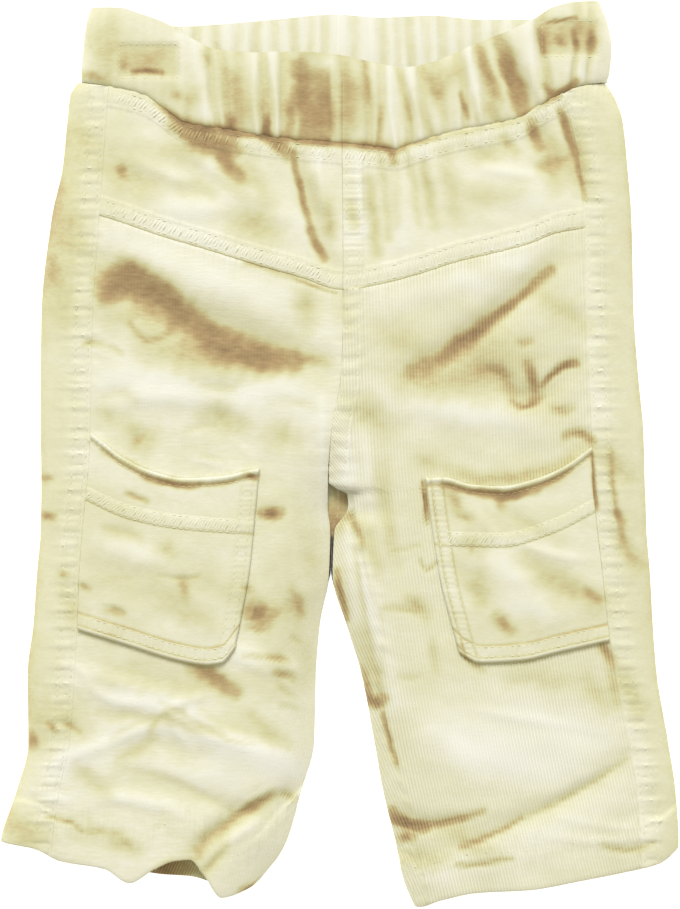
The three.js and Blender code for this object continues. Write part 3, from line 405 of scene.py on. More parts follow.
    (-72, -111, -62, -114, -50, -116, 2.6, -0.6, 0.3), (-96, -90, -76, -96, -58, -97, 5, -0.4, 0.22),
    (-96, -119, -84, -113, -72, -110, 1.6, -0.5, 0.14), (-58, -108, -42, -115, -24, -121, 2.4, -0.4, 0.2),
    (-96, -144, -84, -146, -66, -150, 2, 0.7), (-112, -160, -98, -163, -84, -167, 3, -0.3, 0.12),
    (-74, -156, -66, -162, -58, -164, 4, -0.2, 0.05), (-36, -110, -30, -116, -22, -122, 3, -0.3, 0.24),
    (-50, -166, -44, -160, -34, -154, 2, 0.8), (-101, 23, -92.4, 25, -86, 22, 3, -0.5, 0.12),
    (-65, 10.3, -58.8, 11.5, -52.5, 12.4, 1.2, -0.4, 0.15), (-61, -2.3, -52.5, -3.6, -42, -6.5, 1.5, 0.5),
    (-58, -0.8, -53, -1.8, -48, -3, 1, -0.4, 0.14), (-46, 6, -40, 1.9, -35.7, -1.5, 1.2, 0.4),
    (-29.4, 22.9, -21, 22, -10.5, 20, 3, -0.4, 0.12),
    (-75.6, -50.6, -65, -51.9, -58.8, -50.6, 1.2, -0.3, 0.2),
    (-98.7, -63.2, -92.4, -65.3, -90.3, -66.6, 1, -0.3, 0.2),
    (-40, -84.2, -29.4, -85, -23, -86.3, 1.1, -0.5, 0.3),
    (-48, -81.5, -33.6, -89.5, -16.8, -91.4, 2.2, 0.8),
    (-27.3, -91.8, -23, -92.2, -19.7, -91.8, 0.9, -0.4, 0.3),
    (-26.5, -96, -23, -99, -20, -101, 1.5, -0.3, 0.25),
    (-25.2, -105.2, -21, -106, -18, -106.5, 1, -0.3, 0.25),
    (-75.6, -104, -69.3, -107, -65, -109, 1.2, -0.4, 0.15),
    (-21, -76.2, -18.9, -77.5, -16, -79, 0.9, -0.4, 0.3), (-28, -20, -22, -50, -24, -84, 12, 0, 0.15),
    (-110, -100, -90, -92, -70, -88, 6, 0, 0.12), (-60, -98, -40, -96, -24, -100, 5, 0, 0.14),
    (-116, 120, -117, 90, -118, 60, 9, 0, 0.12), (-100, -20, -80, -30, -50, -34, 9, 0, 0.1),
    (-134, -60, -135, -85, -136, -110, 5, 0, 0.18), (-141, -155, -134, -158, -126, -160, 5, 0, 0.3),
    (-122, 108, -123, 90, -125, 70, 6, 0, 0.2), (-114, 98, -111, 90, -106, 85, 6, 0, 0.2),
    (-104, -30, -96, -62, -100, -84, 14, 0, 0.08), (-30, -52, -26, -64, -30, -78, 9, 0, 0.12),
    (-113, 135, -112, 120, -113, 105, 6, 0, 0.14), (-129, -40, -131, -60, -133, -90, 5, 0, 0.14),
    # right pocket
    (43.5, -12.6, 54, -15, 66, -16.6, 1.9, -0.3, 0.9), (58, -15.8, 70, -17, 82, -14, 2.5, -0.5, 1),
    (82, -14, 89, -10.6, 96, -6.4, 1.7, -0.3, 0.86), (65.4, -17, 66.2, -19, 67.2, -22, 2, -0.3, 0.62),
    (34.8, -11.4, 35.6, -19.6, 36.6, -28, 1.1, -0.3, 0.9), (46, -15.4, 48, -19.6, 50, -24, 3, -0.3, 0.62),
    (50.6, -26, 52.6, -26.4, 55, -26, 1.9, -0.3, 0.5), (105.4, 1, 106.2, -11, 107.4, -23, 1, -0.3, 0.88),
    (78, -44, 92, -53, 106, -60, 5.2, -0.5, 0.34), (103, -57, 105.4, -58.4, 108, -60.6, 2.1, -0.3, 0.62),
    (66, -68, 68.4, -70.4, 71.4, -73, 3.3, -0.4, 0.76), (54.6, -37.4, 56, -38, 57.6, -39, 4.6, -0.3, 0.4),
    (57, -51, 58.6, -57, 60, -63, 4.4, -0.4, 0.4), (74, -62, 88, -66, 100, -66, 5, 0.6),
    (60, -44, 72, -50, 84, -60, 5, 0.7), (50.4, -80, 54, -86.4, 60, -89.8, 1.3, -0.2, 0.45),
    (109.6, -80, 112.6, -84, 114.4, -88.4, 1.9, -0.5, 0.7),
    (67, -19, 75.6, -27.5, 92.4, -36, 2.5, -0.3, 0.14),
    (48.3, -44.3, 54.6, -57, 58.8, -61, 3, -0.3, 0.18), (72, -36, 86, -41, 102, -44, 2.2, 0.5),
    (60, 30, 76, 24, 92, 14, 7, 0, 0.16), (96, 6, 108, 0, 120, -6, 5, 0, 0.22),
    (40, -22, 70, -30, 100, -26, 6, 0, 0.12), (48, -72, 72, -76, 104, -72, 6, 0, 0.14),
    (44, -6, 68, -10, 96, -2, 2.6, 0, 0.4), (56, -24, 64, -32, 70, -42, 2.6, 0.4),
    # right side panel
    (113.4, 1, 115, -19, 119, -36, 1.5, -0.6, 0.58), (116, -24, 117.2, -26, 118.4, -28, 1.9, -0.5, 0.72),
    (117, -34, 121, -41, 126, -47, 3.4, -0.7, 0.42), (112, -4, 117, -8, 122, -9, 3.4, -0.5, 0.36),
    (116, -88, 121, -98, 126, -108, 4, -0.3, 0.34),
    # right calf
    (29, -61.6, 32, -63.6, 36, -67.4, 3, -0.4, 0.36), (38.4, -78, 39.4, -84, 40, -90, 2.2, -0.3, 0.2),
    (2, -17, 9, -19.5, 18, -17, 3.8, 1, 0.06), (2, -10, 8, -13, 16, -11, 4, 0.2),
    (1, -22, 4.5, -58, 12, -96, 1.5, 0.6), (5, -24, 9, -60, 17, -99, 1.3, -0.5, 0.14),
    (9, -34, 12, -50, 15, -66, 1, 0.5), (12, 6, 16, -24, 20, -52, 1.6, 0.5),
    (20, -2, 21, -26, 25, -48, 1.8, -0.4, 0.1), (11, -99, 13.6, -104, 17.6, -102, 2.8, -0.9, 1),
    (44, -115, 72, -122, 108, -124, 12, 0.9), (56, -100, 84, -104, 112, -106, 9, 0.3),
    (50, -106, 74, -110, 110, -116, 2, 0.4), (23, -40, 29.4, -38.9, 33.6, -38, 1, -0.3, 0.2),
    (33.6, -44.3, 36, -47.7, 40.7, -45, 0.9, -0.5, 0.5),
    (19, -64, 25.2, -64.5, 31.5, -66, 1.3, -0.4, 0.36),
    (25, -92.6, 29.4, -93.5, 33.6, -92.6, 1.3, -0.2, 0.2), (9, -89, 10.4, -93, 11.8, -97, 1.6, -0.3, 0.6),
    (18, -108, 20, -117, 24, -130, 1.2, -0.8, 0.7), (21.6, -150, 27, -155, 36, -155.6, 2.8, -0.9, 1),
    (35, -155.4, 45, -154, 60, -149.4, 1.7, -0.7, 0.7),
    (25, -161, 27.4, -161, 30.4, -160.6, 2.1, -0.3, 0.82),
    (120, -127.5, 98, -142, 76, -152.5, 1.1, -0.6, 0.32),
    (76, -152.5, 64, -159, 50, -164.6, 1.2, -0.8, 0.6), (49, -172, 60, -171, 72, -169, 1, -0.6, 0.58),
    (26, -168, 34, -169.6, 42, -169, 4.4, -0.3, 0.26), (104, -94, 107, -99, 111, -105.6, 3.4, -0.2, 0.26),
    (70, -95, 80, -94, 92, -96, 3, -0.1, 0.14), (110, -163.6, 120, -165.6, 131, -163, 1.4, -0.5, 0.42),
    (92, -152, 115, -156, 136, -155, 2, 0.5), (86, -160, 112, -161.6, 134, -158.6, 1.6, 0.6),
    (38, -112, 46, -122, 60, -134, 6, 0.6), (124, -124, 100, -136, 80, -148, 2, 0.3),
    (72, -88, 94, -94, 112, -96, 6, 0, 0.12), (112, -84, 114, -94, 116, -106, 2.4, 0, 0.3),
    # broad, faint changes of tone
    (-14, 120, -9, 108, -4, 94, 4, 0, 0.2), (-118, 100, -116, 80, -114, 56, 7, 0, 0.14),
    (-112, 136, -106, 130, -102, 122, 5, 0, 0.16), (-90, 112, -74, 108, -58, 104, 6, 0, -0.07),
    (99, 137, 101.5, 124, 104, 111, 3.6, 0, 0.34), (-60, 129.5, -53, 127, -44.5, 126.5, 3, 0, 0.7),
    (-51, 127, -49.4, 124.6, -48, 122, 3, 0, 0.82), (-44, 120, -42, 117, -40.6, 114.4, 3, 0, 0.62),
    (-66, 137.4, -63, 133, -61, 130, 2.4, 0, 0.5), (59, 31.6, 65, 30, 71, 27, 3, 0, 0.3),
    (-98, 76.6, -90, 77.6, -82, 73, 4, 0, 0.5), (-141, -152, -134, -156, -125, -160, 6, 0, 0.24),
    (-113, -153, -101, -157, -90, -160, 4, 0, 0.12), (0, 66, 2, 60, 3, 54, 4, 0, 0.14),
    (22.5, 121, 23.4, 110, 23.8, 97, 2.6, 0, 0.22), (42, 133.4, 58, 136.2, 76, 140.6, 1.7, 0, 0.36),
    (-130, -98, -127, -110, -124, -124, 5, 0, 0.16), (-60, -54, -50, -58, -42, -60, 5, 0, 0.14),
    (30, -172, 38, -176, 46, -178, 5, 0, -0.1), (46, -158, 56, -164, 66, -168, 4, 0, 0.2),
    (8, 30, 18, 27, 28, 24, 5, 0, -0.08), (32, 29, 50, 27, 72, 23, 5.6, 0, 0.14),
    (64, 84, 74, 80, 82, 78, 4, 0, -0.08), (4, 96, 14, 90, 24, 86, 7, 0, -0.08),
    (32, 130, 38, 120, 42, 108, 6, 0, -0.1), (-80, 95, -62, 91, -44, 84, 6, 0, -0.08),
    (-100, 60, -90, 58, -80, 60, 6, 0, 0.2), (-72, 66, -66, 62, -58, 57, 4, 0, 0.7),
    (-82, 44, -66, 40, -50, 37, 6, 0, 0.3), (-48, 38, -38, 36, -26, 34, 3.4, 0, 0.3),
    (50, 76, 62, 68, 72, 66, 5, 0, -0.08), (82, 70, 88, 64, 95, 56, 5.6, 0, 0.22),
    (78, -12.5, 88, -10, 98, -5, 3.4, 0, 0.34), (-100, -36, -88, -38, -76, -41, 6, 0, -0.07),
    (-16, -26, -13, -36, -12, -48, 4.4, 0, 0.22), (9, -28, 12, -36, 15, -48, 3.6, 0, 0.26),
    (-117, -54, -113, -61, -112, -70, 5, 0, 0.28), (-43, -55, -38, -61, -36, -68, 6, 0, 0.2),
    (86, -57, 98, -62, 114, -62, 6, 0, 0.16), (9, -76, 12, -86, 16, -96, 3.8, 0, 0.3),
    (-16, -78, -14, -86, -15, -94, 4.4, 0, 0.2), (-122, -104, -114, -111, -108, -116, 6, 0, 0.3),
    (-45, -107, -38, -112, -30, -116, 4.4, 0, 0.16), (-84, -131, -60, -135, -34, -140, 7, 0, -0.1),
    (52, -122, 76, -132, 98, -134, 9, 0, -0.12), (70, -104, 90, -112, 110, -118, 9, 0, -0.1),
    (30, -164, 38, -163, 46, -162, 5, 0, -0.08),
    # inside legs
    (-4.8, -11.6, -1, -12.6, 3, -13.6, 1.6, 0.9), (9, 10, 11.5, -8, 12.5, -30, 2.4, 0.9),
    (16, -6, 18, -22, 21, -42, 3, -0.4, 0.2), (4, -25, 7.6, -32, 9.8, -38.4, 1.7, -0.4, 0.6),
    (-1, -32, 2, -27, 5, -26, 2.2, 0, 0.4), (-1.2, -49, 0.4, -59, 3, -69, 1.6, -0.2, 0.8),
    (-19.6, -58, -18, -62, -16.4, -66.4, 2.4, -0.3, 0.56), (-8, 22, -7, 0, -6.6, -30, 2.2, 0.8),
    (-30, -20, -26, -40, -24, -60, 6, 0.5),
)
print(len(CREASES), "creases and marks")

# %% [markdown]
# ## Marks on the waistband and on the inside
# The casing has two folds of its own and is darkened along its seam, by browning and painted shade
# together. The upper face of the back shows in the crotch, inside the left hem and at the waist, and
# there it takes painted shade: in the gap between the legs, in the hem's fold and between the gathers
# inside the casing.

# %% Waistband and inside
BAND_FOLDS = strokes(
    (-17, 168, -12, 152, -8, 134, 6, -2.4), (66, 174, 73, 158, 80, 142, 4.2, -2.8),
)
BAND_MARKS = strokes(
    (-16.5, 162, -15, 152, -13, 138, 4.4, -0.3, 1), (-9, 158, -6, 148, -4.6, 135, 4.2, 0, 0.9),
    (2, 158, 2.4, 148, 2.6, 136, 2.2, 0, 0.3), (-12, 150, -11, 142, -11, 134, 6, 0, 0.9),
    (-3, 150, -2, 142, -1, 135, 4, 0, 0.4), (58, 147, 63, 142, 68, 138, 5, 0, 0.4),
    (34, 148, 38, 142, 42, 136, 5, 0, -0.1), (98, 166, 102, 158, 106, 150, 5, 0, -0.12),
    (81, 158, 85, 148, 88, 142, 4, 0, 0.26), (84, 178, 85, 174, 86, 170, 3, 0, 0.3),
    (-19.6, 152, -20.4, 143, -20.8, 136, 2.4, 0, 0.75), (-40, 148, -30, 144, -20, 150, 8, 0, 0.18),
    (-104, 180, -98, 172, -94, 164, 9, 0, 0.26), (-46, 160, -44, 150, -42, 140, 4, 0, 0.3),
    (4, 160, 5, 150, 6, 138, 5, 0, 0.34), (36, 158, 40, 150, 44, 142, 7, 0, 0.12),
    (30, 150, 34, 142, 38, 136, 3.4, 0, 0.3), (-20, 176, -18, 170, -17, 162, 2, 0.3),
    (-4.4, 158, -4, 148, -3.6, 137, 1.6, 0, 0.75), (66.5, 173.5, 72, 159, 77, 143, 3.8, -0.3, 0.95),
    (70, 162, 74, 152, 77.6, 142.6, 3.8, -0.2, 0.95), (57.6, 169, 62, 159, 67, 147, 2.6, -0.2, 0.72),
    (50.4, 151, 52, 145.6, 53.6, 140.6, 1.2, -0.2, 0.78),
    (57, 142, 57.8, 139.8, 58.6, 137.8, 1.4, -0.1, 0.7), (10, 166, 11.2, 157, 12, 149, 1.4, 0, 0.52),
    (24.6, 160, 28, 146, 31, 133, 1.3, 0, 0.36), (30, 162, 34, 150, 37, 140, 4, 0.5),
    (36, 163, 37.5, 156, 40, 149, 2.6, 0, 0.34), (17, 145, 16.6, 138, 16.4, 131, 1.6, 0, 0.5),
    (83.6, 177, 84.2, 172, 84.8, 168.6, 1.5, -0.2, 0.86),
    (91, 173.6, 92.2, 172.4, 93.4, 171.8, 1.9, -0.1, 0.72),
    (97.8, 177, 98.4, 173, 98.8, 169.6, 1.4, -0.2, 0.74),
    (105.8, 176, 105.4, 173, 104.8, 170, 2.4, -0.1, 0.72),
    (87, 180.6, 93, 181.8, 99, 182.6, 0.8, -0.2, 0.85), (85, 154, 91, 151.4, 98.8, 156, 1.7, -0.4, 0.95),
    (85, 176, 93, 175, 101, 176, 6, 0, 0.34), (-86.6, 160, -80, 160.6, -74.6, 159.6, 1.2, -0.2, 0.86),
    (-89, 166.6, -80, 166, -71, 166.6, 4.6, 0, 0.3), (-91, 163.6, -90, 162.6, -89, 161.6, 2, 0, 0.5),
    (-107, 159, -104, 158.2, -100, 157, 2.2, 0, 0.72),
    (-56.4, 167.6, -56, 165.6, -55.4, 163.6, 2.4, -0.2, 0.62),
    (-69, 150, -67, 149.4, -64.6, 149, 2.2, -0.2, 0.46), (-76, 153, -72, 151, -66, 150, 4.6, 0, 0.2),
    (-4, 160, -3.4, 150, -3, 138, 1.8, 0, 0.6), (-46, 142, -45.4, 139, -45, 135.5, 2.4, -0.2, 0.85),
    (-30.8, 141, -30.6, 137.6, -30.4, 133.6, 1.7, -0.2, 0.95),
    (-50, 158, -36, 148, -22, 152, 10, 0, 0.24), (-66, 142, -62, 147, -60, 152, 3.6, 0, 0.4),
    (-22, 170, -8, 169, 4, 168, 3, 0, 0.3), (2, 152, 6, 149, 10, 147, 6.6, 0, 0.34),
    (1, 166, 2.5, 152, 3, 137, 3.6, 0, 0.3), (-104, 172, -100, 170, -98, 160, 6, 0, 0.22),
    (42, 152, 46, 158, 50, 162, 3.6, 0, 0.3),
)
# painted shade on the back's upper face: the crotch gap, the left hem's fold and the gathers inside the
# casing
INSIDE_PAINTED_SHADE = strokes(
    (-1, -8, 0, -17, -1, -26, 7.5, 0, 0.5), (-1, -22, -2, -28, -3, -34, 4.6, 0, 0.84),
    (-3, -34, -3.5, -44, -4, -56, 5, 0, 0.9), (-80, -175, -68, -172, -58, -174, 8, 0, 0.4),
    (-52.6, 175, -52, 172, -51.6, 169, 1.8, 0, 0.4), (29.4, 184, 29.8, 174, 30, 166, 1.2, 0, 0.3),
    (43, 174, 43.4, 170, 43.6, 167, 2.4, 0, 0.3),
)
print(len(BAND_FOLDS + BAND_MARKS), "strokes on the waistband,", len(INSIDE_PAINTED_SHADE), "inside")

# %% [markdown]
# ## Gathers
# Elastic inside the casing draws it into gathers. Each is a line down the casing, from the x of
# its top to the x of its foot, with half its width and its rise. Two stitched boxes hold the ends
# of the elastic, and the cloth sinks in them.

# %% Gathers
Gather = namedtuple("Gather", "top foot half rise")


def gathers(*rows):
    """Rows of numbers as gathers."""
    return [Gather(*row) for row in rows]


FRONT_GATHERS = gathers(
    (-95, -96.5, 3.2, -0.6), (-65.8, -66.4, 2.4, 0.5), (-59.5, -56, 3.4, 0.8), (-55.5, -51, 1.9, -1.1),
    (-50, -46, 1.8, -1.2), (-43, -41, 2.2, -0.8), (-36, -35, 1.7, 0.7), (-32.5, -30.5, 1.8, -1.2),
    (-27.5, -26.5, 1.6, 0.8), (-24, -22.5, 1.8, -1), (-2.5, -2, 1.8, 0.8), (10.5, 12.5, 2, -1.2),
    (17.5, 16.5, 1.6, -0.9), (20.5, 23, 1.5, 0.8), (24.5, 30, 1.8, -0.9), (29, 34, 1.7, 0.8),
    (33, 38, 1.7, -0.9), (40.5, 44, 2.2, -1), (49.5, 53.5, 2, -1.3), (53.5, 59, 1.9, 0.9),
    (57.5, 65.5, 2.2, -1.3), (77.5, 84, 2.4, 0.9), (84, 88, 1.8, -1.3), (100, 98, 1.8, -1.1),
    (106, 104, 1.8, -0.8),
)
BACK_GATHERS = gathers(
    (-88, -90, 2.6, -0.8), (-77.5, -79, 2.2, -0.9), (-69, -70, 2, -0.8), (-60.5, -61, 2.4, -1),
    (-52, -52.5, 2.2, -1), (-43, -44, 2, -0.7), (-35, -35, 2, -1.1), (-27, -27.5, 1.9, -0.7),
    (-19.5, -19.5, 2, -1.1), (-12.5, -13, 1.8, -0.8), (-6.5, -7, 1.8, -0.8), (6, 5.5, 2.2, -0.7),
    (18, 18, 2.2, -1), (24, 24.5, 1.8, -0.7), (29.5, 30, 2, -1.2), (36.5, 37, 2, -0.7),
    (43, 43.5, 2.2, -1), (50, 51, 2, -0.7), (57, 57.5, 2.2, -1), (66, 67.5, 2.2, -0.9),
    (75, 77, 2.4, -0.9), (85.5, 87.5, 2.4, -0.8), (95, 97, 2.4, -0.7),
)
ElasticBox = namedtuple("ElasticBox", "x y wide tall")
ELASTIC_BOXES = [ElasticBox(-79.8, 164.5, 25, 14), ElasticBox(96.6, 174, 24, 15)]
print(len(FRONT_GATHERS), "gathers in front and", len(BACK_GATHERS), "behind")

# %% [markdown]
# ## From strokes to heights and marks
# The distance of every point from a stroke's line gives both: a trough or a ridge with a bell's profile,
# and a darker mark, which stands for stains and for painted shade in the troughs, with a painted
# highlight on the ridges.

# %% Heights and marks
CHORDS = 8
STROKE_REACH = 2.6  # a stroke has no effect beyond this many half widths
STROKE_END = 0.35  # how full a stroke still is at its ends


def stroke_reach(stroke, x, y):
    """Where a stroke reaches, how full it is there, which falls towards its ends, and the
    distance from its line in half widths. The line is a parabola through its three points, cut
    into chords."""
    t = np.linspace(0, 1, CHORDS + 1)
    bend_x = 2 * stroke.x1 - (stroke.x0 + stroke.x2) / 2
    bend_y = 2 * stroke.y1 - (stroke.y0 + stroke.y2) / 2
    line_x = stroke.x0 * (1 - t) ** 2 + 2 * bend_x * t * (1 - t) + stroke.x2 * t * t
    line_y = stroke.y0 * (1 - t) ** 2 + 2 * bend_y * t * (1 - t) + stroke.y2 * t * t
    reach = STROKE_REACH * stroke.half
    near = (x > line_x.min() - reach) & (x < line_x.max() + reach)
    near &= (y > line_y.min() - reach) & (y < line_y.max() + reach)
    px, py = x[near][:, None], y[near][:, None]
    dx, dy = np.diff(line_x), np.diff(line_y)
    along = ((px - line_x[:-1]) * dx + (py - line_y[:-1]) * dy) / (dx * dx + dy * dy)
    along = np.clip(along, 0, 1)
    gap = np.hypot(px - line_x[:-1] - along * dx, py - line_y[:-1] - along * dy)
    row = np.arange(len(gap))
    best = gap.argmin(axis=1)
    at = (best + along[row, best]) / CHORDS
    taper = STROKE_END + (1 - STROKE_END) * np.sin(np.pi * np.clip(at, 0.02, 0.98))
    return near, taper, gap[row, best] / stroke.half


def fold_height(table, x, y):
    """The sum of rise * fullness * exp(-r^2), r being the distance in half widths."""
    height = np.zeros(x.shape)
    for stroke in table:
        near, full, ratio = stroke_reach(stroke, x, y)
        height[near] += stroke.rise * full * np.exp(-(ratio**2))
    return height


FOLD_KEPT = 0.65  # the cloth's skin spans the large folds a little
BASE_TONE, MOST_TONE = 0.145, 0.86
SHADE_PER_MM = 0.05  # how much painted shade a trough takes for each millimetre of its depth
HIGHLIGHT_PER_MM, MOST_HIGHLIGHT = 0.6, 0.9  # painted highlight on a ridge for each mm of its height, and the most it can be
BEND_SHARE, WIDEST_BENT = 0.13, 5.0  # of a mark's half width, and the most that counts
FIRM_TONE = 0.6  # marks darker than this have firmer edges


def marks(table, x, y):
    """How dark the cloth is, from 0 to 1: each stroke takes its tone's share of what is still light, a
    deep trough adds painted shade of its own, and a ridge gets a painted highlight that lightens the base
    tone. Marks stand for stains and painted shade together. Short waves bend the places first, so that no
    mark has an even edge."""
    marked = np.zeros(x.shape)
    wear_and_painted_highlight = np.zeros(x.shape)
    bend_x = np.sin(y / 2.3 + 0.8 * np.sin(x / 5.1)) + 0.5 * np.sin(y / 0.9 + x / 1.7)
    bend_y = np.sin(x / 2.7 + np.sin(y / 4.3)) + 0.5 * np.sin(x / 1.1 - y / 1.9)
    for stroke in table:
        bend = BEND_SHARE * min(stroke.half, WIDEST_BENT)
        near, full, ratio = stroke_reach(stroke, x + bend * bend_x, y + bend * bend_y)
        firm = 2 + 4 * max(0.0, stroke.tone - FIRM_TONE)
        weight = full**0.5 * np.exp(-(ratio**firm))
        # painted shade from a trough's depth; the next lines give a ridge a painted highlight
        added = stroke.tone + SHADE_PER_MM * max(0.0, -stroke.rise)
        marked[near] += (1 - marked[near]) * np.minimum(1, added * weight)
        ridge_highlight = min(MOST_HIGHLIGHT, HIGHLIGHT_PER_MM * max(0.0, stroke.rise))
        wear_and_painted_highlight[near] += (1 - wear_and_painted_highlight[near]) * ridge_highlight * weight
    base = BASE_TONE * (1 - wear_and_painted_highlight)
    return base + (MOST_TONE - base) * marked


thigh = np.array([-88.0]), np.array([74.5])
print("tone in the left thigh's crease", round(float(marks(CREASES, *thigh)[0]), 2))

# %% [markdown]
# ## The lie of the cloth
# The front layer leaves each side fold as a round roll, climbs to its full height some 40 mm in,
# and falls again to the inside legs. Folds, creases and a soft unevenness are added to that.

# %% Lie of the cloth
def lumps(x, y):
    """Soft unevenness of washed cloth: crossed waves 30 to 50 mm long that bend each other, and
    ripples some 10 mm long."""
    wave = np.sin(x / 6.1 + 1.3 * np.sin(y / 15)) * np.sin(y / 8.3 + 0.7 * np.sin(x / 11))
    wave += 0.7 * np.sin((x + 0.7 * y) / 4.6 + 1.2 * np.sin(y / 9.7))
    ripple = np.sin(y / 1.7 + 1.5 * np.sin(x / 9.1) + 0.8 * np.sin(y / 7.7))
    return 0.13 * wave + 0.06 * ripple * np.sin(x / 7.3 + y / 19)


def hemness(half, x, y):
    """0 on single cloth and 1 on the turned-up hem."""
    return 1 - smooth(HEM_HEIGHT - 1, HEM_HEIGHT + 1, y - hem_front[half](x))


def climb(distance, radius, crown):
    """Share of the full height at a distance in from a fold: it leaves the fold as a circle and
    levels out at CROWN_REACH."""
    power = (2 * radius * CROWN_REACH) / (crown - radius) ** 2
    return np.sqrt(1 - (1 - np.clip(distance / CROWN_REACH, 0, 1)) ** power)


ROLL_CLEAR = 9  # mm in from a fold or an inside leg where creases reach their full height
INSEAM_ROUND = 2.2  # how full the roll of the inside leg is


def front_z(half, x, y):
    """Height of the front layer's outer face above the table."""
    from_fold = np.maximum(0, (outer_x[half](y) - x) * OUTWARD[half])
    from_inner = np.maximum(0, (x - inner_x[half](y)) * OUTWARD[half])
    crown = crown_z(y)
    hemmed = hemness(half, x, y)
    radius = mix(SIDE_FOLD, HEM_FOLD, hemmed)
    body = radius + (crown - radius) * climb(from_fold, radius, crown)
    lap = mix(2 * CLOTH + 0.1, 2 * HEM_CLOTH, hemmed)
    leg = lap + (body - lap) * (1 - (1 - np.clip(from_inner / INSEAM_REACH, 0, 1)) ** INSEAM_ROUND)
    legness = 1 - smooth(CROTCH_LOW, CROTCH_TOP, y)
    clear = smooth(0, ROLL_CLEAR, from_fold) * mix(1, smooth(0, ROLL_CLEAR, from_inner), legness)
    creased = FOLD_KEPT * fold_height(FOLDS, x, y) + fold_height(CREASES, x, y)
    return mix(body, leg, legness) + clear * (creased + lumps(x, y))


SETTLE_ROUNDS = 14  # enough for x and y that depend on each other to settle


def between(u, v, inner, outer, top, bottom):
    """The point at the shares u and v between two lines down and two lines across, which depend
    on each other, so it is settled in a few rounds."""
    x = mix(inner(0.0), outer(0.0), u)
    for _ in range(SETTLE_ROUNDS):
        y = mix(top(x), bottom(x), v)
        x = mix(inner(y), outer(y), u)
    return x, y


print("crown at the hips", float(front_z("left", np.array([-50.0]), np.array([60.0]))[0]))

# %% [markdown]
# ## Closed walls
# Cloth has two faces and an edge. A wall is made from the grid of its outer face: the inner face
# is the same grid moved in by the cloth's thickness, with fewer columns since nothing shows there,
# and the rims join the two. Both move along the face's normal without its Y part, so each wall is
# cut square where it meets the next one up or down the garment.

# %% Wall maker
EDGE_ROUND = 0.45  # radius of every cut or folded edge, mm
SEWN_ROUND = 0.22  # the shallow edge of a panel that is sewn to its neighbour
TUCK = 0.5  # a panel goes this far in under the strip that is sewn over it
EDGE_STEPS = (0.0, 0.15, 0.4, 0.8)  # mm in from an edge where a round edge needs its points
SHARP_DEGREES = 58  # a sharper bend than this is shaded as an edge


def rounded(distance, radius=EDGE_ROUND):
    """How far a face drops at a distance from its edge: r - sqrt(r^2 - (r - d)^2)."""
    inward = np.clip(radius - distance, 0, radius)
    return radius - np.sqrt(radius * radius - inward * inward)


def sewn(distance):
    """The shallow edge of a panel that is sewn to its neighbour."""
    return rounded(distance, SEWN_ROUND)


def rows_with_edges(count, length):
    """Shares from 0 to 1 in even steps, with a few close ones at both ends for round edges."""
    close = np.array(EDGE_STEPS) / length
    even = np.linspace(close[-1], 1 - close[-1], count)
    return np.concatenate([close[:-1], even, 1 - close[:-1][::-1]])


def cloth_grid(columns, wide, rows, long):
    """Shares u and v on a grid of that many steps on cloth `wide` by `long` mm."""
    return np.meshgrid(rows_with_edges(columns, wide), rows_with_edges(rows, long))


def square_normals(points, facing):
    """Unit normals of a grid of points, without their Y part."""
    normal = np.cross(np.gradient(points, axis=1), np.gradient(points, axis=0))
    normal[..., 1] = 0
    return normal * facing / np.linalg.norm(normal, axis=2, keepdims=True)


def grid_quads(index):
    """One quad for each square of a grid of point numbers."""
    corners = [index[:-1, :-1], index[:-1, 1:], index[1:, 1:], index[1:, :-1]]
    return np.stack(corners, axis=-1).reshape(-1, 4)


def rim_triangles(top, low, kept):
    """Joins a fine row of points to a coarse one: a fan from each coarse point, and one
    triangle for each coarse step. `kept` holds the fine column of each coarse point."""
    column = np.arange(len(top) - 1)
    owner = np.searchsorted(kept, column, side="right") - 1
    fans = np.stack([top[:-1], low[owner], top[1:]], axis=1)
    closing = np.stack([top[kept[1:]], low[:-1], low[1:]], axis=1)
    return np.concatenate([fans, closing])


def make_mesh(name, points, quads, triangles, uv, facts):
    """A mesh in metres from points in millimetres, with a UV map and named values at each
    point: its tone and how much of its pile still stands."""
    mesh = bpy.data.meshes.new(name)
    mesh.from_pydata((points * MM).tolist(), [], quads.tolist() + triangles.tolist())
    corner = np.empty(len(mesh.loops), dtype=np.int32)
    mesh.loops.foreach_get("vertex_index", corner)
    layer = mesh.uv_layers.new(name="cloth")
    layer.data.foreach_set("uv", uv[corner].astype(np.float32).ravel())
    for fact, values in facts.items():
        attribute = mesh.attributes.new(fact, "FLOAT", "POINT")
        attribute.data.foreach_set("value", values.astype(np.float32))
    mesh.polygons.foreach_set("use_smooth", np.ones(len(mesh.polygons), dtype=bool))
    mesh.set_sharp_from_angle(angle=math.radians(SHARP_DEGREES))
    mesh.update()
    piece = bpy.data.objects.new(name, mesh)
    bpy.context.scene.collection.objects.link(piece)
    return piece


def volume_of(points, faces):
    """Signed volume inside closed faces: the sum of a . (b x c) / 6 over their triangles."""
    fan = np.concatenate([faces[:, [0, k, k + 1]] for k in range(1, faces.shape[1] - 1)])
    a, b, c = points[fan[:, 0]], points[fan[:, 1]], points[fan[:, 2]]
    return float(np.einsum("ij,ij->", a, np.cross(b, c)) / 6)


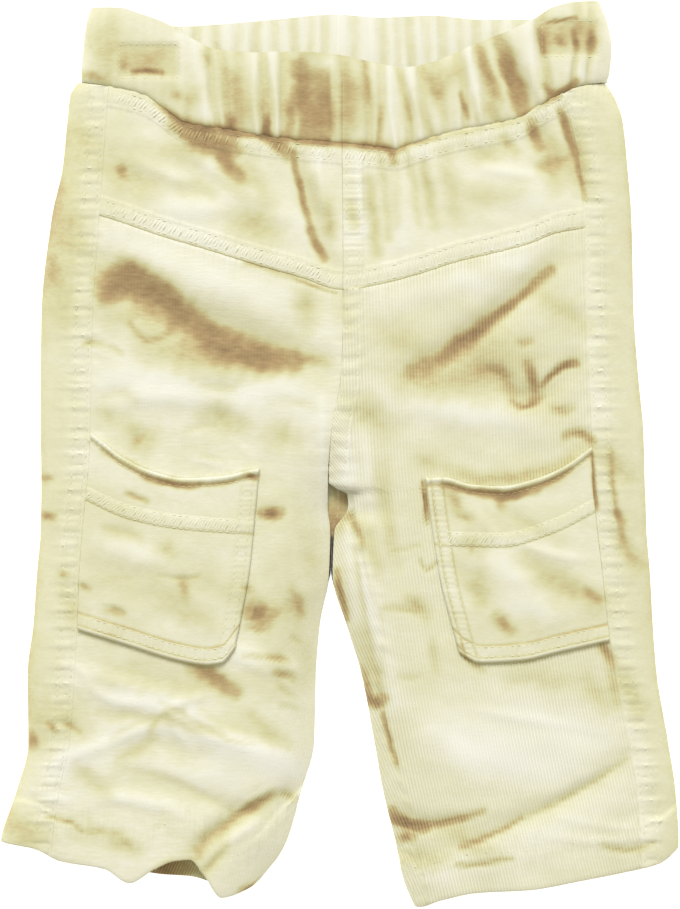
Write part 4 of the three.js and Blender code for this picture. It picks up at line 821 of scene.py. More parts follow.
def wall(name, place, relief, thick, facing, uv, facts, stride=1):
    """A closed wall over a grid of points, whose x, y and z are `place`. `relief` stands on the
    outer face, `thick` is how far in the inner face lies, and `stride` thins out its columns."""
    grid, uv = np.dstack(place), np.dstack(uv)
    rows, cols = grid.shape[:2]
    normal = square_normals(grid, facing)
    outer = grid + normal * relief[..., None]
    kept = np.append(np.arange(0, cols - 1, stride), cols - 1)
    inner = (grid - normal * thick[..., None])[:, kept]
    points = np.concatenate([outer.reshape(-1, 3), inner.reshape(-1, 3)])
    points[:, 2] = np.maximum(points[:, 2], 0)
    top = np.arange(rows * cols).reshape(rows, cols)
    low = rows * cols + np.arange(rows * len(kept)).reshape(rows, len(kept))
    near = np.stack([top[:-1, 0], top[1:, 0], low[1:, 0], low[:-1, 0]], axis=1)
    far = np.stack([top[1:, -1], top[:-1, -1], low[:-1, -1], low[1:, -1]], axis=1)
    quads = np.concatenate([grid_quads(top), grid_quads(low)[:, ::-1], near, far])
    first = rim_triangles(top[0], low[0], kept)
    last = rim_triangles(top[-1], low[-1], kept)[:, ::-1]
    triangles = np.concatenate([first, last])
    if volume_of(points, quads) + volume_of(points, triangles) < 0:
        quads, triangles = quads[:, ::-1], triangles[:, ::-1]
    both_uv = np.concatenate([uv.reshape(-1, 2), uv[:, kept].reshape(-1, 2)])
    both = {key: np.concatenate([v.ravel(), v[:, kept].ravel()]) for key, v in facts.items()}
    piece = make_mesh(name, points, quads, triangles, both_uv, both)
    print(f"{name}: {2 * len(quads) + len(triangles)} triangles")
    return piece


# %% [markdown]
# ## What stands on the cloth
# Where seam allowances are pressed to one side and topstitched, the cloth stands up in a strip,
# and the thread draws it into small puckers. These functions give that low relief in millimetres
# at any point, so that the stitches, which are made later, can lie on it.

# %% Relief of the seams
FELL_WIDTH, FELL_RAISE = 8.4, 0.42  # pressed and topstitched seam allowance
STITCH_IN = 1.5  # a topstitch row lies this far in from its edge
HEM_ROW, HEM_RAISE = HEM_HEIGHT - 2, 0.3  # the hem's stitch row, and how proud the hem stands


def strip(distance, width, soft=0.7):
    """1 within `width` of an edge and 0 beyond it."""
    return 1 - smooth(width - soft, width + soft, distance)


def groove(distance, half):
    """A soft line: exp(-(distance / half)^2)."""
    return np.exp(-((distance / half) ** 2))


def puckers(along, across, reach):
    """Small ridges that a row of stitches draws up, dying away across the seam."""
    wave = 1.3 * np.sin(along / 0.34 + 0.9 * np.sin(along / 3.1))
    wave += 0.9 * np.sin(along / 0.61 + 1.1 * np.sin(along / 5.3) + 1.0)
    wave += 1.1 * np.sin(along / 1.15 + np.sin(along / 8.7) + 2.0)
    return wave * np.exp(-((across / reach) ** 2))


def seam_strip(along, across, soft_edge=0.6):
    """A topstitched strip: raised, grooved along both stitch rows, and drawn into puckers."""
    raised = FELL_RAISE * strip(across, FELL_WIDTH) * smooth(0, 2 * soft_edge, across)
    rows = groove(across - STITCH_IN, 0.45) + groove(across - FELL_WIDTH + STITCH_IN, 0.45)
    drawn = puckers(along, across - FELL_WIDTH / 2, 0.7 * FELL_WIDTH)
    return raised - 0.2 * rows + 0.12 * drawn


def hem_relief(half, x, y):
    """The turned-up hem stands proud and is grooved along its stitch row."""
    from_row = y - hem_front[half](x) - HEM_ROW
    return HEM_RAISE * (hemness(half, x, y) - groove(from_row, 0.6))


def yoke_relief(half, x, y):
    """Both seam strips, the higher one where they cross, and the feet of the gathers, which die
    away below the waistband as exp(-drop / 9)."""
    over_yoke = seam_strip(x, y - yoke_line(x))
    under_band = seam_strip(x, band_seam_front(x) - BAND_GAP - y)
    height = np.maximum(over_yoke, under_band)
    if half == "right":
        height = np.maximum(height, seam_strip(y, x - inner_x["right"](y)))
    for gather in FRONT_GATHERS:
        drop = band_seam_front(x) - y
        weight = np.exp(-(((x - gather.foot) / gather.half) ** 2)) * np.exp(-drop / 9)
        height = height + 0.5 * gather.rise * weight
    return height


def leg_relief(half, x, y):
    """Everything on the leg but its wales."""
    height = hem_relief(half, x, y)
    height += 0.1 * puckers(x, y - hem_front[half](x) - HEM_ROW, 7.0)
    height += 0.07 * puckers(x, yoke_line(x) - y, 5.0)
    from_centre = (x - inner_x[half](y)) * OUTWARD[half]
    above_crotch = smooth(-16, -8, y)
    height += 0.07 * above_crotch * puckers(y, from_centre, 6.0)
    height += 0.07 * puckers(y, (seam_x[half](y) - x) * OUTWARD[half], 5.0)
    if half == "right":
        height += above_crotch * seam_strip(y, from_centre)
        inseam = x - inseam_right(y)
        height -= (1 - above_crotch) * 0.08 * groove(inseam, 1.1)
        height += (1 - above_crotch) * 0.1 * puckers(y, inseam, 4.0)
    return height


def panel_relief(half, x, y):
    """On the top face of a side panel, beside its front seam."""
    across = (x - seam_x[half](y)) * OUTWARD[half]
    below_band = band_seam_front(x) - BAND_GAP - y
    height = seam_strip(y, across, soft_edge=1.3) + 0.08 * puckers(y, across - 9, 8.5)
    return np.maximum(height, seam_strip(x, below_band)) + hem_relief(half, x, y)


print("a seam strip stands", round(float(seam_strip(0.0, FELL_WIDTH / 2)), 2), "mm proud")

# %% [markdown]
# ## Relief of the waistband
# The tabled gathers are the large ones. Finer wrinkles lie between them, the casing rolls down to both of
# its edges, and along the seam below it its cloth is darkened, partly browned and partly by painted shade
# under the casing's edge.

# %% Relief of the waistband
BAND_ROLL, BOX_SUNK = 0.8, 0.7


def gather_height(table, x, v):
    """Each gather is a ridge or a trough along a line from its top to its foot, which sways by
    half a millimetre, and it narrows towards its foot."""
    height = np.zeros(x.shape)
    for gather in table:
        line = mix(gather.top, gather.foot, v) + 0.5 * np.sin(5.5 * v + gather.top)
        height += gather.rise * groove(x - line, gather.half * (1.25 - 0.5 * v))
    return height


def fine_gathers(x, v):
    """The small wrinkles between the tabled gathers, strongest at both edges of the casing."""
    wave = np.sin(x / 0.71 + 1.4 * np.sin(x / 4.1) + 0.8 * v)
    wave += 0.8 * np.sin(x / 1.13 + 1.2 * np.sin(x / 6.7) - 1.1 * v + 1.0)
    return wave * (0.05 + 0.11 * np.abs(2 * v - 1) ** 2)


def box_weight(x, y, edge=1.3):
    """1 in the stitched boxes of the elastic and 0 outside them."""
    inside = np.zeros(x.shape)
    for box in ELASTIC_BOXES:
        across = strip(np.abs(x - box.x), box.wide / 2, edge)
        inside = np.maximum(inside, across * strip(np.abs(y - box.y), box.tall / 2, edge))
    return inside


def band_relief(x, y, v):
    """Gathers and wrinkles, flatter in the boxes, less a roll of |2v - 1|^4 towards both edges."""
    rolled = BAND_ROLL * np.abs(2 * v - 1) ** 4
    boxed = box_weight(x, y)
    height = gather_height(FRONT_GATHERS, x, v) + fine_gathers(x, v)
    return height * (1 - 0.6 * boxed) - rolled - BOX_SUNK * boxed


SEAM_SHADES = [(-57, 15), (-22, 12), (12, 15), (88, 8)]  # x and half width of darker stretches


def seam_shade(x):
    """How dark the cloth is along the waistband's seam: browning and painted shade under the casing's
    edge together, patchy along it.
    """
    stretches = [groove(x - place, half_wide) for place, half_wide in SEAM_SHADES]
    patchy = 0.5 + 0.5 * np.sin(x / 1.9 + 1.7 * np.sin(x / 4.3))
    level = 0.04 + 0.4 * patchy * smooth(-80, -70, x) * (1 - smooth(27, 34, x))
    return np.minimum(0.85, level + 0.55 * sum(stretches))


across_waist = gather_height(FRONT_GATHERS, np.linspace(-100, 100, 400), 0.5)
print("gathers are up to", round(float(np.ptp(across_waist)), 1), "mm from trough to ridge")

# %% [markdown]
# ## Relief of the pockets
# A pocket's mouth is rolled over and its roll is twisted like a rope. Its inner and lower edges
# are doubled and piped, and a band of cover stitch crosses it.

# %% Relief of the pockets
POCKET_RIM, RIM_RAISE = 2.2, 1.0
POCKET_STRIP, POCKET_BASE_STRIP, POCKET_BAND_WIDE = 6.9, 7.2, 5.6
POCKET_LIFT = 0.3
INNER_SHOWS = {"left": 0.2, "right": 1.0}  # the left pocket's inner edge is pressed flat


def pocket_relief(half, x, y, u, v):
    """The rolled mouth, the stitched band below it, and the doubled edges with their piping."""
    from_mouth = pocket_mouth[half](x) - y
    from_inner = (x - pocket_inner[half](y)) * OUTWARD[half]
    from_base = y - pocket_base[half](x)
    band = pocket_band[half](x) - y
    height = RIM_RAISE * strip(from_mouth, POCKET_RIM, 1.1) - 0.12 * groove(from_mouth - 3.8, 0.8)
    height += 0.8 * np.sin(np.pi * u) * np.sin(np.pi * v)
    twist = np.sin(2 * np.pi * (x + 0.8 * from_mouth) / 1.6)
    height += (0.13 * twist + 0.08 * puckers(x, 0, 1)) * strip(from_mouth, POCKET_RIM)
    beside = INNER_SHOWS[half] * strip(from_inner, POCKET_STRIP)
    doubled = np.maximum(beside, strip(from_base, POCKET_BASE_STRIP))
    height += 0.4 * doubled * smooth(2, 4, from_mouth)
    inner_piping = INNER_SHOWS[half] * groove(from_inner - 1.1, 0.8)
    piping = np.maximum(inner_piping, groove(from_base - 1.1, 0.8))
    height += 0.3 * piping * smooth(3, 6, from_mouth)
    height -= 0.25 * groove(from_base - POCKET_BASE_STRIP, 0.5)
    in_band = strip(-band, 0) * strip(band, POCKET_BAND_WIDE)
    inside = 1 - doubled
    height += inside * (0.35 * in_band - 0.2 * groove(band, 0.5))
    height -= inside * 0.2 * groove(band - POCKET_BAND_WIDE, 0.5)
    height += 0.08 * puckers(x, band - POCKET_BAND_WIDE / 2, 3.0)
    height += 0.05 * puckers(y, from_inner - POCKET_STRIP / 2, 3.6)
    height += 0.09 * puckers(x, from_base - POCKET_BASE_STRIP / 2, 3.6)
    return height


mouth_y = float(pocket_mouth["right"](60.0)) - 1
print("mouth's roll", round(float(pocket_relief("right", 60.0, mouth_y, 0.5, 0.0)), 2), "mm")

# %% [markdown]
# ## Legs and backs
# Each leg front is one panel of corduroy, with raised wales and narrow grooves between them. The
# wales are raised in the wall itself, four columns of points to a wale. On the right leg a strip
# of the back rolls round to the front beside the inside seam, and its wales run aslant. The backs
# lie flat on the table and show in the crotch, inside the left hem and at the waist.

# %% Corduroy panels
WALES, WALE_PITCH = 76, 1.34
WALE_HEIGHT = {"left": 0.03, "right": 0.18}  # the pile is worn flatter on the left leg
COLUMNS_PER_WALE = 4


def wale_profile(phase):
    """1 - |cos(pi p)|^3: a round top and a narrow groove at every whole number."""
    return 1 - np.abs(np.cos(np.pi * phase)) ** 3


GRAIN = {  # x of one straight wale from y: the legs' cloth leans outwards below the crotch
    "left": curve([(-190, -34), (-120, -17), (-60, -8), (0, -1), (70, 1)]),
    "right": curve([(-190, 37), (-120, 21), (-60, 11), (0, 4), (70, 1.5)]),
}
FAN_TOP = (17.9, 18.1)  # below here the right leg's wales fan out beside the centre seam
CROTCH_TURN = (-17, -14)  # and between these heights they turn into the inside leg's
FAN_LEAN, ROLLED_LEAN = 0.75, 0.42  # mm aside for each mm down, in the fan and on the rolled strip
ROLLED_START = 200  # a whole number of wales, so that every wale's number stays above zero


def standing_pile(half, x, y, tone):
    """How clearly the wales show, 0 to 1: the left leg is worn nearly smooth but for its marks,
    and the right one keeps its wales, most of all low down."""
    if half == "left":
        low = smooth(-100, -150, y) * smooth(-70, -40, x)
        return np.clip(0.02 + 0.1 * tone + 0.16 * low, 0, 1)
    bare = 0.3 * np.sin(x / 13.0 + 1.0) * np.sin(y / 21.0 + 0.6)
    inside_leg = 0.3 * smooth(0, -4, x - inseam_right(y)) * smooth(-10, -20, y)
    return np.clip(0.66 + bare + inside_leg + 0.15 * tone + 0.2 * smooth(-60, -120, y), 0, 1)


def front_leg(half):
    """The grid from the centre to the side seam and from the yoke to the hem, at the height of
    the front, with its wales as relief."""
    sign = OUTWARD[half]
    u = np.linspace(0, 1, WALES * COLUMNS_PER_WALE + 1)
    v = rows_with_edges(count=165, length=262)
    uu, vv = np.meshgrid(u, v)
    x, y = between(
        uu,
        vv,
        lambda y: inner_x[half](y) + sign * SEAM_GAP / 2,
        lambda y: seam_x[half](y) + sign * TUCK,
        lambda x: yoke_line(x) + TUCK,
        hem_front[half],
    )
    z = front_z(half, x, y)
    wale = (x - GRAIN[half](y)) / WALE_PITCH
    worn = np.full(x.shape, WALE_HEIGHT[half])
    tone = marks(FOLDS + CREASES, x, y)
    if half == "right":
        above = smooth(*CROTCH_TURN, y)
        strip_wide = mix(x - inseam_right(y), x - inner_x["right"](y) - 7.5, above)
        aside = (1 - smooth(-0.3, 0.3, strip_wide)) * (1 - smooth(*FAN_TOP, y))
        worn = worn * (1 - 0.6 * aside) * (1 - groove(strip_wide, 0.55))
        fan = wale + FAN_LEAN * np.minimum(0, y - 18) / WALE_PITCH
        rolled = (x + ROLLED_LEAN * y) / WALE_PITCH + ROLLED_START
        wale = np.where(aside > 0.5, np.where(above > 0.5, fan, rolled), wale)
        # painted shade along the inside-leg seam
        tone = darker(tone, 0.08 * groove(x - inseam_right(y), 1.2) * (1 - above))
    # painted shadow on the leg just below the pocket's lower edge
    below_pocket = pocket_base[half](x) - y
    over_pocket = smooth(-6, 6, (x - pocket_inner[half](y)) * sign)
    tone = darker(tone, 0.14 * over_pocket * groove(below_pocket - 0.3, 0.9))
    height = worn * wale_profile(wale)
    height = height + leg_relief(half, x, y)
    edges = [
        sewn((x - inner_x[half](y)) * sign),
        sewn((seam_x[half](y) - x) * sign),
        sewn(yoke_line(x) - y),
        rounded(y - hem_front[half](x), 1.0),
    ]
    height = height - np.maximum.reduce(edges)
    thick = mix(CLOTH, HEM_CLOTH, hemness(half, x, y))
    pile = standing_pile(half, x, y, tone)
    if half == "right":
        pile = pile * (1 - groove(strip_wide, 0.55) * (1 - smooth(*FAN_TOP, y)))
    facts = {"tone": tone, "pile": pile}
    uv = (wale, y)
    return wall(f"leg_front_{half}", (x, y, z), height, thick, -sign, uv, facts, COLUMNS_PER_WALE)


THIGHS_PART = (-54, -49)  # the backs part between these heights


def back(half):
    """A flat grid on the table, from the centre seam to the seam under the side fold."""
    sign = OUTWARD[half]
    u = np.linspace(0, 1, WALES + 1)
    v = rows_with_edges(count=110, length=330)
    uu, vv = np.meshgrid(u, v)

    def inner(y):
        """Down the centre seam, then between the thighs, and out to the inside leg below."""
        thighs = (inner_x["left"](y) + inner_x["right"](y)) / 2
        centre = mix(thighs, CENTRE_BACK, smooth(-34, -18, y)) + sign * SEAM_GAP / 2
        return mix(inner_x[half](y), centre, smooth(*THIGHS_PART, y))

    x, y = between(
        uu,
        vv,
        inner,
        lambda y: outer_x[half](y) - sign * (BACK_SEAM_IN + SEAM_GAP / 2),
        lambda x: band_seam_back(x) - BAND_GAP,
        hem_back[half],
    )
    hemmed = 1 - smooth(HEM_HEIGHT - 1, HEM_HEIGHT + 1, y - hem_back[half](x))
    thick = mix(CLOTH, HEM_CLOTH, hemmed)
    tone = marks(INSIDE_PAINTED_SHADE, x, y)
    # painted shade: dark in the narrow gap between the thighs, and in the fold inside the left hem
    tone = tone + 0.8 * groove(x + 4, 4) * (1 - smooth(-38, -32, y)) * smooth(-62, -54, y)
    tone = tone + 0.45 * groove(x + 76, 9) * (1 - smooth(-172, -168, y))
    wear_and_painted_highlight = groove(x + 1, 8) * smooth(-38, -32, y) * (1 - smooth(-12, -6, y))  # in the crotch
    facts = {"tone": tone, "pile": 1 - 0.85 * wear_and_painted_highlight}
    flat = np.zeros(x.shape)
    return wall(f"leg_back_{half}", (x, y, flat), flat, thick, sign, (uu * WALES, y), facts)


leg_fronts = {half: front_leg(half) for half in OUTWARD}
leg_backs = {half: back(half) for half in OUTWARD}

# %% [markdown]
# ## Yoke
# The other panels are smooth twill. The yoke ends below in a V and carries a stitched strip along
# each seam. It is a plain grid between its seams, tucked a little under the side panel.

# %% Yoke
def yoke(half):
    """The grid from the centre to the side seam and from the waistband to the V."""
    sign = OUTWARD[half]
    uu, vv = cloth_grid(columns=190, wide=98, rows=80, long=66)
    x, y = between(
        uu,
        vv,
        lambda y: inner_x[half](y) + sign * SEAM_GAP / 2,
        lambda y: seam_x[half](y) + sign * TUCK,
        lambda x: band_seam_front(x) + TUCK,
        lambda x: yoke_line(x) + SEAM_GAP / 2,
    )
    z = front_z(half, x, y)
    edges = [
        sewn((x - inner_x[half](y)) * sign),
        sewn((seam_x[half](y) - x) * sign),
        sewn(band_seam_front(x) - BAND_GAP - y),
        sewn(y - yoke_line(x)),
    ]
    height = yoke_relief(half, x, y) - np.maximum.reduce(edges)
    tone = marks(FOLDS + CREASES, x, y)
    # painted shade under the waistband's edge, with browning along that seam, and painted shade below the
    # V seam's strip
    tone = darker(tone, seam_shade(x) * groove(band_seam_front(x) - y, 2.0))
    tone = darker(tone, 0.4 * groove(y - yoke_line(x), 0.7))
    thick = np.full(x.shape, CLOTH)
    facts = {"tone": tone}
    return wall(f"yoke_twill_{half}", (x, y, z), height, thick, -sign, (x, y), facts, stride=4)


yokes = {half: yoke(half) for half in OUTWARD}

# %% [markdown]
# ## Side panels
# A side panel runs from its front seam round the outside of the leg to the back. A profile for the
# fold is carried down the leg: over the top, round the fold, and back along the table.

# %% Side panels
TOP_SHARE, FOLD_SHARE = 0.6, 0.8  # where the profile leaves the top and reaches the table


def round_fold(q, top_reach, under_reach, radius):
    """The profile of cloth that folds round a side: over the top, round a quarter circle and
    back along the table. Gives the distance in from the fold and the height, and whether the
    point is on the top, where the height comes from the lie of the cloth instead."""
    on_top = q <= TOP_SHARE
    on_table = q >= FOLD_SHARE
    angle = np.clip((q - TOP_SHARE) / (FOLD_SHARE - TOP_SHARE), 0, 1) * np.pi / 2
    distance = radius * (1 - np.cos(angle))
    distance = np.where(on_top, top_reach * (1 - np.minimum(q / TOP_SHARE, 1)), distance)
    beyond = mix(radius, under_reach, (q - FOLD_SHARE) / (1 - FOLD_SHARE))
    distance = np.where(on_table, beyond, distance)
    return distance, radius * (1 - np.sin(angle)), on_top


def fold_shares(top, fold, under):
    """Shares q of the profile, with the given numbers of steps on its three parts."""
    over = 1 - (1 - rows_with_edges(top, 25)) ** 1.15
    parts = [over * TOP_SHARE, np.linspace(TOP_SHARE, FOLD_SHARE, fold + 1)[1:]]
    return np.concatenate(parts + [np.linspace(FOLD_SHARE, 1, under + 1)[1:]])


def side_panel(half):
    """The profile of `round_fold` at each height of the leg. Its x and y depend on each other,
    so they are settled in rounds."""
    sign = OUTWARD[half]
    across_steps = fold_shares(top=44, fold=10, under=12)
    qq, vv = np.meshgrid(across_steps, rows_with_edges(count=330, length=330))
    y = np.zeros(qq.shape)
    under = smooth(TOP_SHARE, FOLD_SHARE, qq)
    for _ in range(SETTLE_ROUNDS):
        edge = outer_x[half](y)
        reach = np.abs(edge - seam_x[half](y)) - SEAM_GAP / 2
        radius = mix(SIDE_FOLD, HEM_FOLD, hemness(half, edge, y))
        distance, lift, on_top = round_fold(qq, reach, BACK_SEAM_IN - SEAM_GAP / 2, radius)
        x = edge - sign * distance
        top = mix(band_seam_front(x), band_seam_back(x), under) - BAND_GAP
        y = mix(top, mix(hem_front[half](x), hem_back[half](x), under), vv)
    z = np.where(on_top, front_z(half, x, y), lift)
    across = (x - seam_x[half](y)) * sign
    fade = 1 - smooth(0.5 * TOP_SHARE, TOP_SHARE, qq)
    edges = [sewn(across), sewn(band_seam_front(x) - BAND_GAP - y)]
    edges.append(rounded(y - hem_front[half](x), 1.0))
    height = np.where(on_top, panel_relief(half, x, y) * fade - np.maximum.reduce(edges), 0)
    tone = marks(FOLDS + CREASES, x, y) * np.where(on_top, 1, 0.5)
    # painted shade that deepens across the panel towards its fold, darkest on the fold's edge where the
    # cloth turns down
    fold_edge_shade = 0.1 * smooth(0, 14, across) + 0.26 * np.exp(-np.abs(outer_x[half](y) - x) / 1.6)
    tone = darker(tone, fold_edge_shade)
    thick = mix(CLOTH, HEM_CLOTH, hemness(half, x, y))
    uv, facts = (distance * sign, y), {"tone": tone}
    return wall(f"side_twill_{half}", (x, y, z), height, thick, -sign, uv, facts, stride=3)


side_panels = {half: side_panel(half) for half in OUTWARD}

# %% [markdown]
# ## Waistband
# The waistband is a casing, gathered by the elastic inside, that folds round at each hip. It uses
# the same profile as the side panels, from the centre front to the centre back.

# %% Waistband
def band_front_z(half, x, y):
    """Height of the casing's outer face: it climbs from its fold and takes its own creases."""
    from_fold = np.maximum(0, (band_end[half](y) - x) * OUTWARD[half])
    top = BAND_FOLD + (BAND_CROWN - BAND_FOLD) * climb(from_fold, BAND_FOLD, BAND_CROWN)
    return top + smooth(0, ROLL_CLEAR, from_fold) * fold_height(BAND_FOLDS + BAND_MARKS, x, y)


def waistband(half):
    """The profile of `round_fold` round the hip, thicker by the gathers that show inside."""
    sign = OUTWARD[half]
    centre_front = float(inner_x[half](band_seam_front(0.0))) + sign * SEAM_GAP / 2
    centre_back = CENTRE_BACK + sign * SEAM_GAP / 2
    around_steps = fold_shares(top=230, fold=10, under=170)
    qq, vv = np.meshgrid(around_steps, rows_with_edges(count=32, length=32))
    y = np.full(qq.shape, float(band_top_front(0.0)))
    under = smooth(TOP_SHARE, FOLD_SHARE, qq)
    for _ in range(SETTLE_ROUNDS):
        edge = band_end[half](y)
        reaches = np.abs(edge - centre_front), np.abs(edge - centre_back)
        distance, lift, on_top = round_fold(qq, *reaches, BAND_FOLD)
        x = edge - sign * distance
        top = mix(band_top_front(x), band_top_back(x), under)
        y = mix(top, mix(band_seam_front(x), band_seam_back(x), under), vv)
    z = np.where(on_top, band_front_z(half, x, y), lift)
    from_fold = np.maximum(0, (edge - x) * sign)
    settled = smooth(0, 6, from_fold)
    edges = np.maximum(rounded((x - centre_front) * sign), rounded(y - band_seam_front(x), 1.6))
    height = np.where(on_top, band_relief(x, y, vv) * settled - edges, 0)
    inside = gather_height(BACK_GATHERS, x, vv) + fine_gathers(x + 40, vv)
    inside = inside - 0.5 * BAND_ROLL * np.abs(2 * vv - 1) ** 4
    thick = CASING + np.where(qq >= FOLD_SHARE, inside * smooth(BAND_FOLD, 12, distance), 0)
    gathered = gather_height(FRONT_GATHERS, x, vv) + 0.5 * fine_gathers(x, vv)
    # painted shade in the troughs of the gathers, outside and inside, and under the casing's lower edge
    shade = 0.2 * np.clip(-gathered, 0, 2)
    shade_inside = 0.05 + 0.17 * np.clip(-gather_height(BACK_GATHERS, x, vv), 0, 2)
    low = seam_shade(x) * groove((1 - vv) * 30, 2.2)
    front_tone = darker(darker(marks(BAND_FOLDS + BAND_MARKS, x, y), shade), low)
    # the elastic's boxes are a little darker, and a painted highlight lightens the ridges of the gathers
    front_tone = (front_tone + 0.14 * box_weight(x, y, 2.4)) * (1 - 0.6 * np.clip(gathered, 0, 1))
    inside_tone = np.maximum(shade_inside, marks(INSIDE_PAINTED_SHADE, x, y) - 0.1)
    tone = np.where(on_top, front_tone, inside_tone)
    return wall(f"band_{half}", (x, y, z), height, thick, -sign, (x, y), {"tone": tone})


bands = {half: waistband(half) for half in OUTWARD}

# %% [markdown]
# ## Pockets
# A patch pocket of twill lies on each thigh. Its mouth is curved and rolled over, a knitted-looking
# cover stitch crosses it lower down, and the inner and lower edges are doubled and piped.

# %% Pockets
def pocket_z(half, x, y):
    """A pocket lies on the front of the leg, a little above it."""
    return front_z(half, x, y) + POCKET_LIFT + POCKET_CLOTH


def pocket(half):
    """The grid from the mouth to the base, with stains and painted shade along its folds, painted shade
    along its seams and under its rolled mouth, and a painted highlight on the roll and the piping.
    """
    sign = OUTWARD[half]
    uu, vv = cloth_grid(columns=140, wide=74, rows=140, long=78)
    x, y = between(
        uu,
        vv,
        pocket_inner[half],
        lambda y: seam_x[half](y) - sign * 0.3,
        pocket_mouth[half],
        pocket_base[half],
    )
    z = pocket_z(half, x, y)
    edges = [
        rounded((x - pocket_inner[half](y)) * sign, 1.1),
        rounded((seam_x[half](y) - x) * sign - SEAM_GAP),
        rounded(pocket_mouth[half](x) - y, 1.1),
        rounded(y - pocket_base[half](x), 1.1),
    ]
    height = pocket_relief(half, x, y, uu, vv) - np.maximum.reduce(edges)
    tone = marks(FOLDS + CREASES, x, y)
    from_base = y - pocket_base[half](x)
    from_mouth = pocket_mouth[half](x) - y
    from_inner = (x - pocket_inner[half](y)) * sign
    shows = INNER_SHOWS[half]
    lines = [  # tone, distance from the line and half width of each line of painted shade
        (0.12, from_base, 0.5),
        (0.52, from_base - POCKET_BASE_STRIP, 0.6),
        (0.4, from_base - 2.2, 0.5),
        (0.36, pocket_band[half](x) - POCKET_BAND_WIDE - y, 0.6),
        (0.4, from_mouth - POCKET_RIM - 1.0, 0.9),
        (0.4 * shows, from_inner - 2.2, 0.6),
        (0.3 * shows, from_inner - POCKET_STRIP, 0.6),
    ]
    painted_seam_shade = np.maximum.reduce([share * groove(distance, wide) for share, distance, wide in lines])
    tone = darker(tone, painted_seam_shade)
    # a painted highlight on the rolled mouth and the piping
    piped = np.maximum(strip(from_mouth, POCKET_RIM), groove(from_base - 1.2, 0.6))
    tone = tone * (1 - 0.3 * piped)
    thick = np.full(x.shape, POCKET_CLOTH)
    facts = {"tone": tone}
    return wall(f"pocket_twill_{half}", (x, y, z), height, thick, -sign, (x, y), facts, stride=4)


pockets = {half: pocket(half) for half in OUTWARD}

# %% [markdown]
# ## Stitches
# The thread is a twisted cotton, about 0.4 mm thick, in stitches some 2.3 mm long. Each stitch is a
# small capsule of a few faces that dips into the cloth at both ends, and all the stitches of one
# piece are one mesh.

# %% Stitch maker
THREAD = 0.2  # radius, mm
STITCH_PITCH, STITCH_LENGTH = 2.8, 2.25
SIDES, RINGS = 6, 5


def length_along(xs, ys):
    """Distance run along a line of points, from its first."""
    return np.concatenate([[0], np.cumsum(np.hypot(np.diff(xs), np.diff(ys)))])


def stitch_row(xs, ys, top, pitch=STITCH_PITCH, length=STITCH_LENGTH):
    """Ends of even stitches along a line of points, on the surface `top`, and their radius."""
    run = length_along(xs, ys)
    starts = np.arange(0.6, run[-1] - length, pitch)
    ends = []
    for s in (starts, starts + length):
        px, py = np.interp(s, run, xs), np.interp(s, run, ys)
        ends.append(np.stack([px, py, top(px, py) - 0.05], axis=1))
    return ends + [np.full(len(starts), THREAD)]


def rungs(xs, ys, top, width, pitch, lean=0.25, radius=0.42):
    """Ends and radius of the bundles of thread of a cover stitch: short rungs across a line of
    points, half sunk in, each leaning along the line by `lean` of its width."""
    run = length_along(xs, ys)
    middle = np.arange(0.8, run[-1] - 0.8, pitch)
    px, py = np.interp(middle, run, xs), np.interp(middle, run, ys)
    tx, ty = np.gradient(px), np.gradient(py)
    norm = np.hypot(tx, ty)
    tx, ty = tx / norm, ty / norm
    ends = []
    for side in (-0.5 * width, 0.5 * width):
        ex, ey = px - ty * side + tx * side * lean, py + tx * side + ty * side * lean
        ends.append(np.stack([ex, ey, top(ex, ey) - 0.5 * radius], axis=1))
    return ends + [np.full(len(middle), radius)]


def capsules(name, rows, tone_at):
    """One mesh of all the stitches in `rows`: each is a tube of SIDES by RINGS points from one end
    to the other, bowed up by 1.1 of its radius and narrowed to about a third at its ends."""
    start = np.concatenate([row[0] for row in rows])
    end = np.concatenate([row[1] for row in rows])
    radius = np.concatenate([row[2] for row in rows])[:, None]
    along = end - start
    length = np.linalg.norm(along, axis=1, keepdims=True)
    along = along / length
    side = np.cross(along, [0.0, 0.0, 1.0])
    side /= np.linalg.norm(side, axis=1, keepdims=True)
    up = np.cross(side, along)
    t = np.linspace(0, 1, RINGS)
    girth = radius * (0.35 + 0.65 * np.sin(np.pi * t) ** 0.5)
    bow = radius * (1.1 * np.sin(np.pi * t) - 0.45)
    turn = np.arange(SIDES) * 2 * np.pi / SIDES
    ring = start[:, None] + along[:, None] * (length * t)[..., None] + up[:, None] * bow[..., None]
    across = side[:, None] * np.cos(turn)[:, None] + up[:, None] * np.sin(turn)[:, None]
    points = ring[:, :, None] + across[:, None] * girth[..., None, None]
    count = len(start)
    index = np.arange(count * RINGS * SIDES).reshape(count, RINGS, SIDES)
    turned = np.roll(index, -1, axis=2)
    quads = [index[:, :-1], turned[:, :-1], turned[:, 1:], index[:, 1:]]
    quads = np.stack(quads, axis=-1).reshape(-1, 4)
    caps = [index[:, 0, ::-1], index[:, -1]]
    fans = [cap[:, [0, k, k + 1]] for cap in caps for k in range(1, SIDES - 1)]
    run = np.broadcast_to((length * t)[:, :, None], index.shape)
    turns = np.broadcast_to(turn / (2 * np.pi), index.shape)
    uv = np.stack([run.ravel(), turns.ravel()], axis=1)
    flat = points.reshape(-1, 3)
    tone = tone_at(flat[:, 0], flat[:, 1])
    piece = make_mesh(name, flat, quads, np.concatenate(fans), uv, {"tone": tone})
    print(f"{name}: {count} stitches")
    return piece


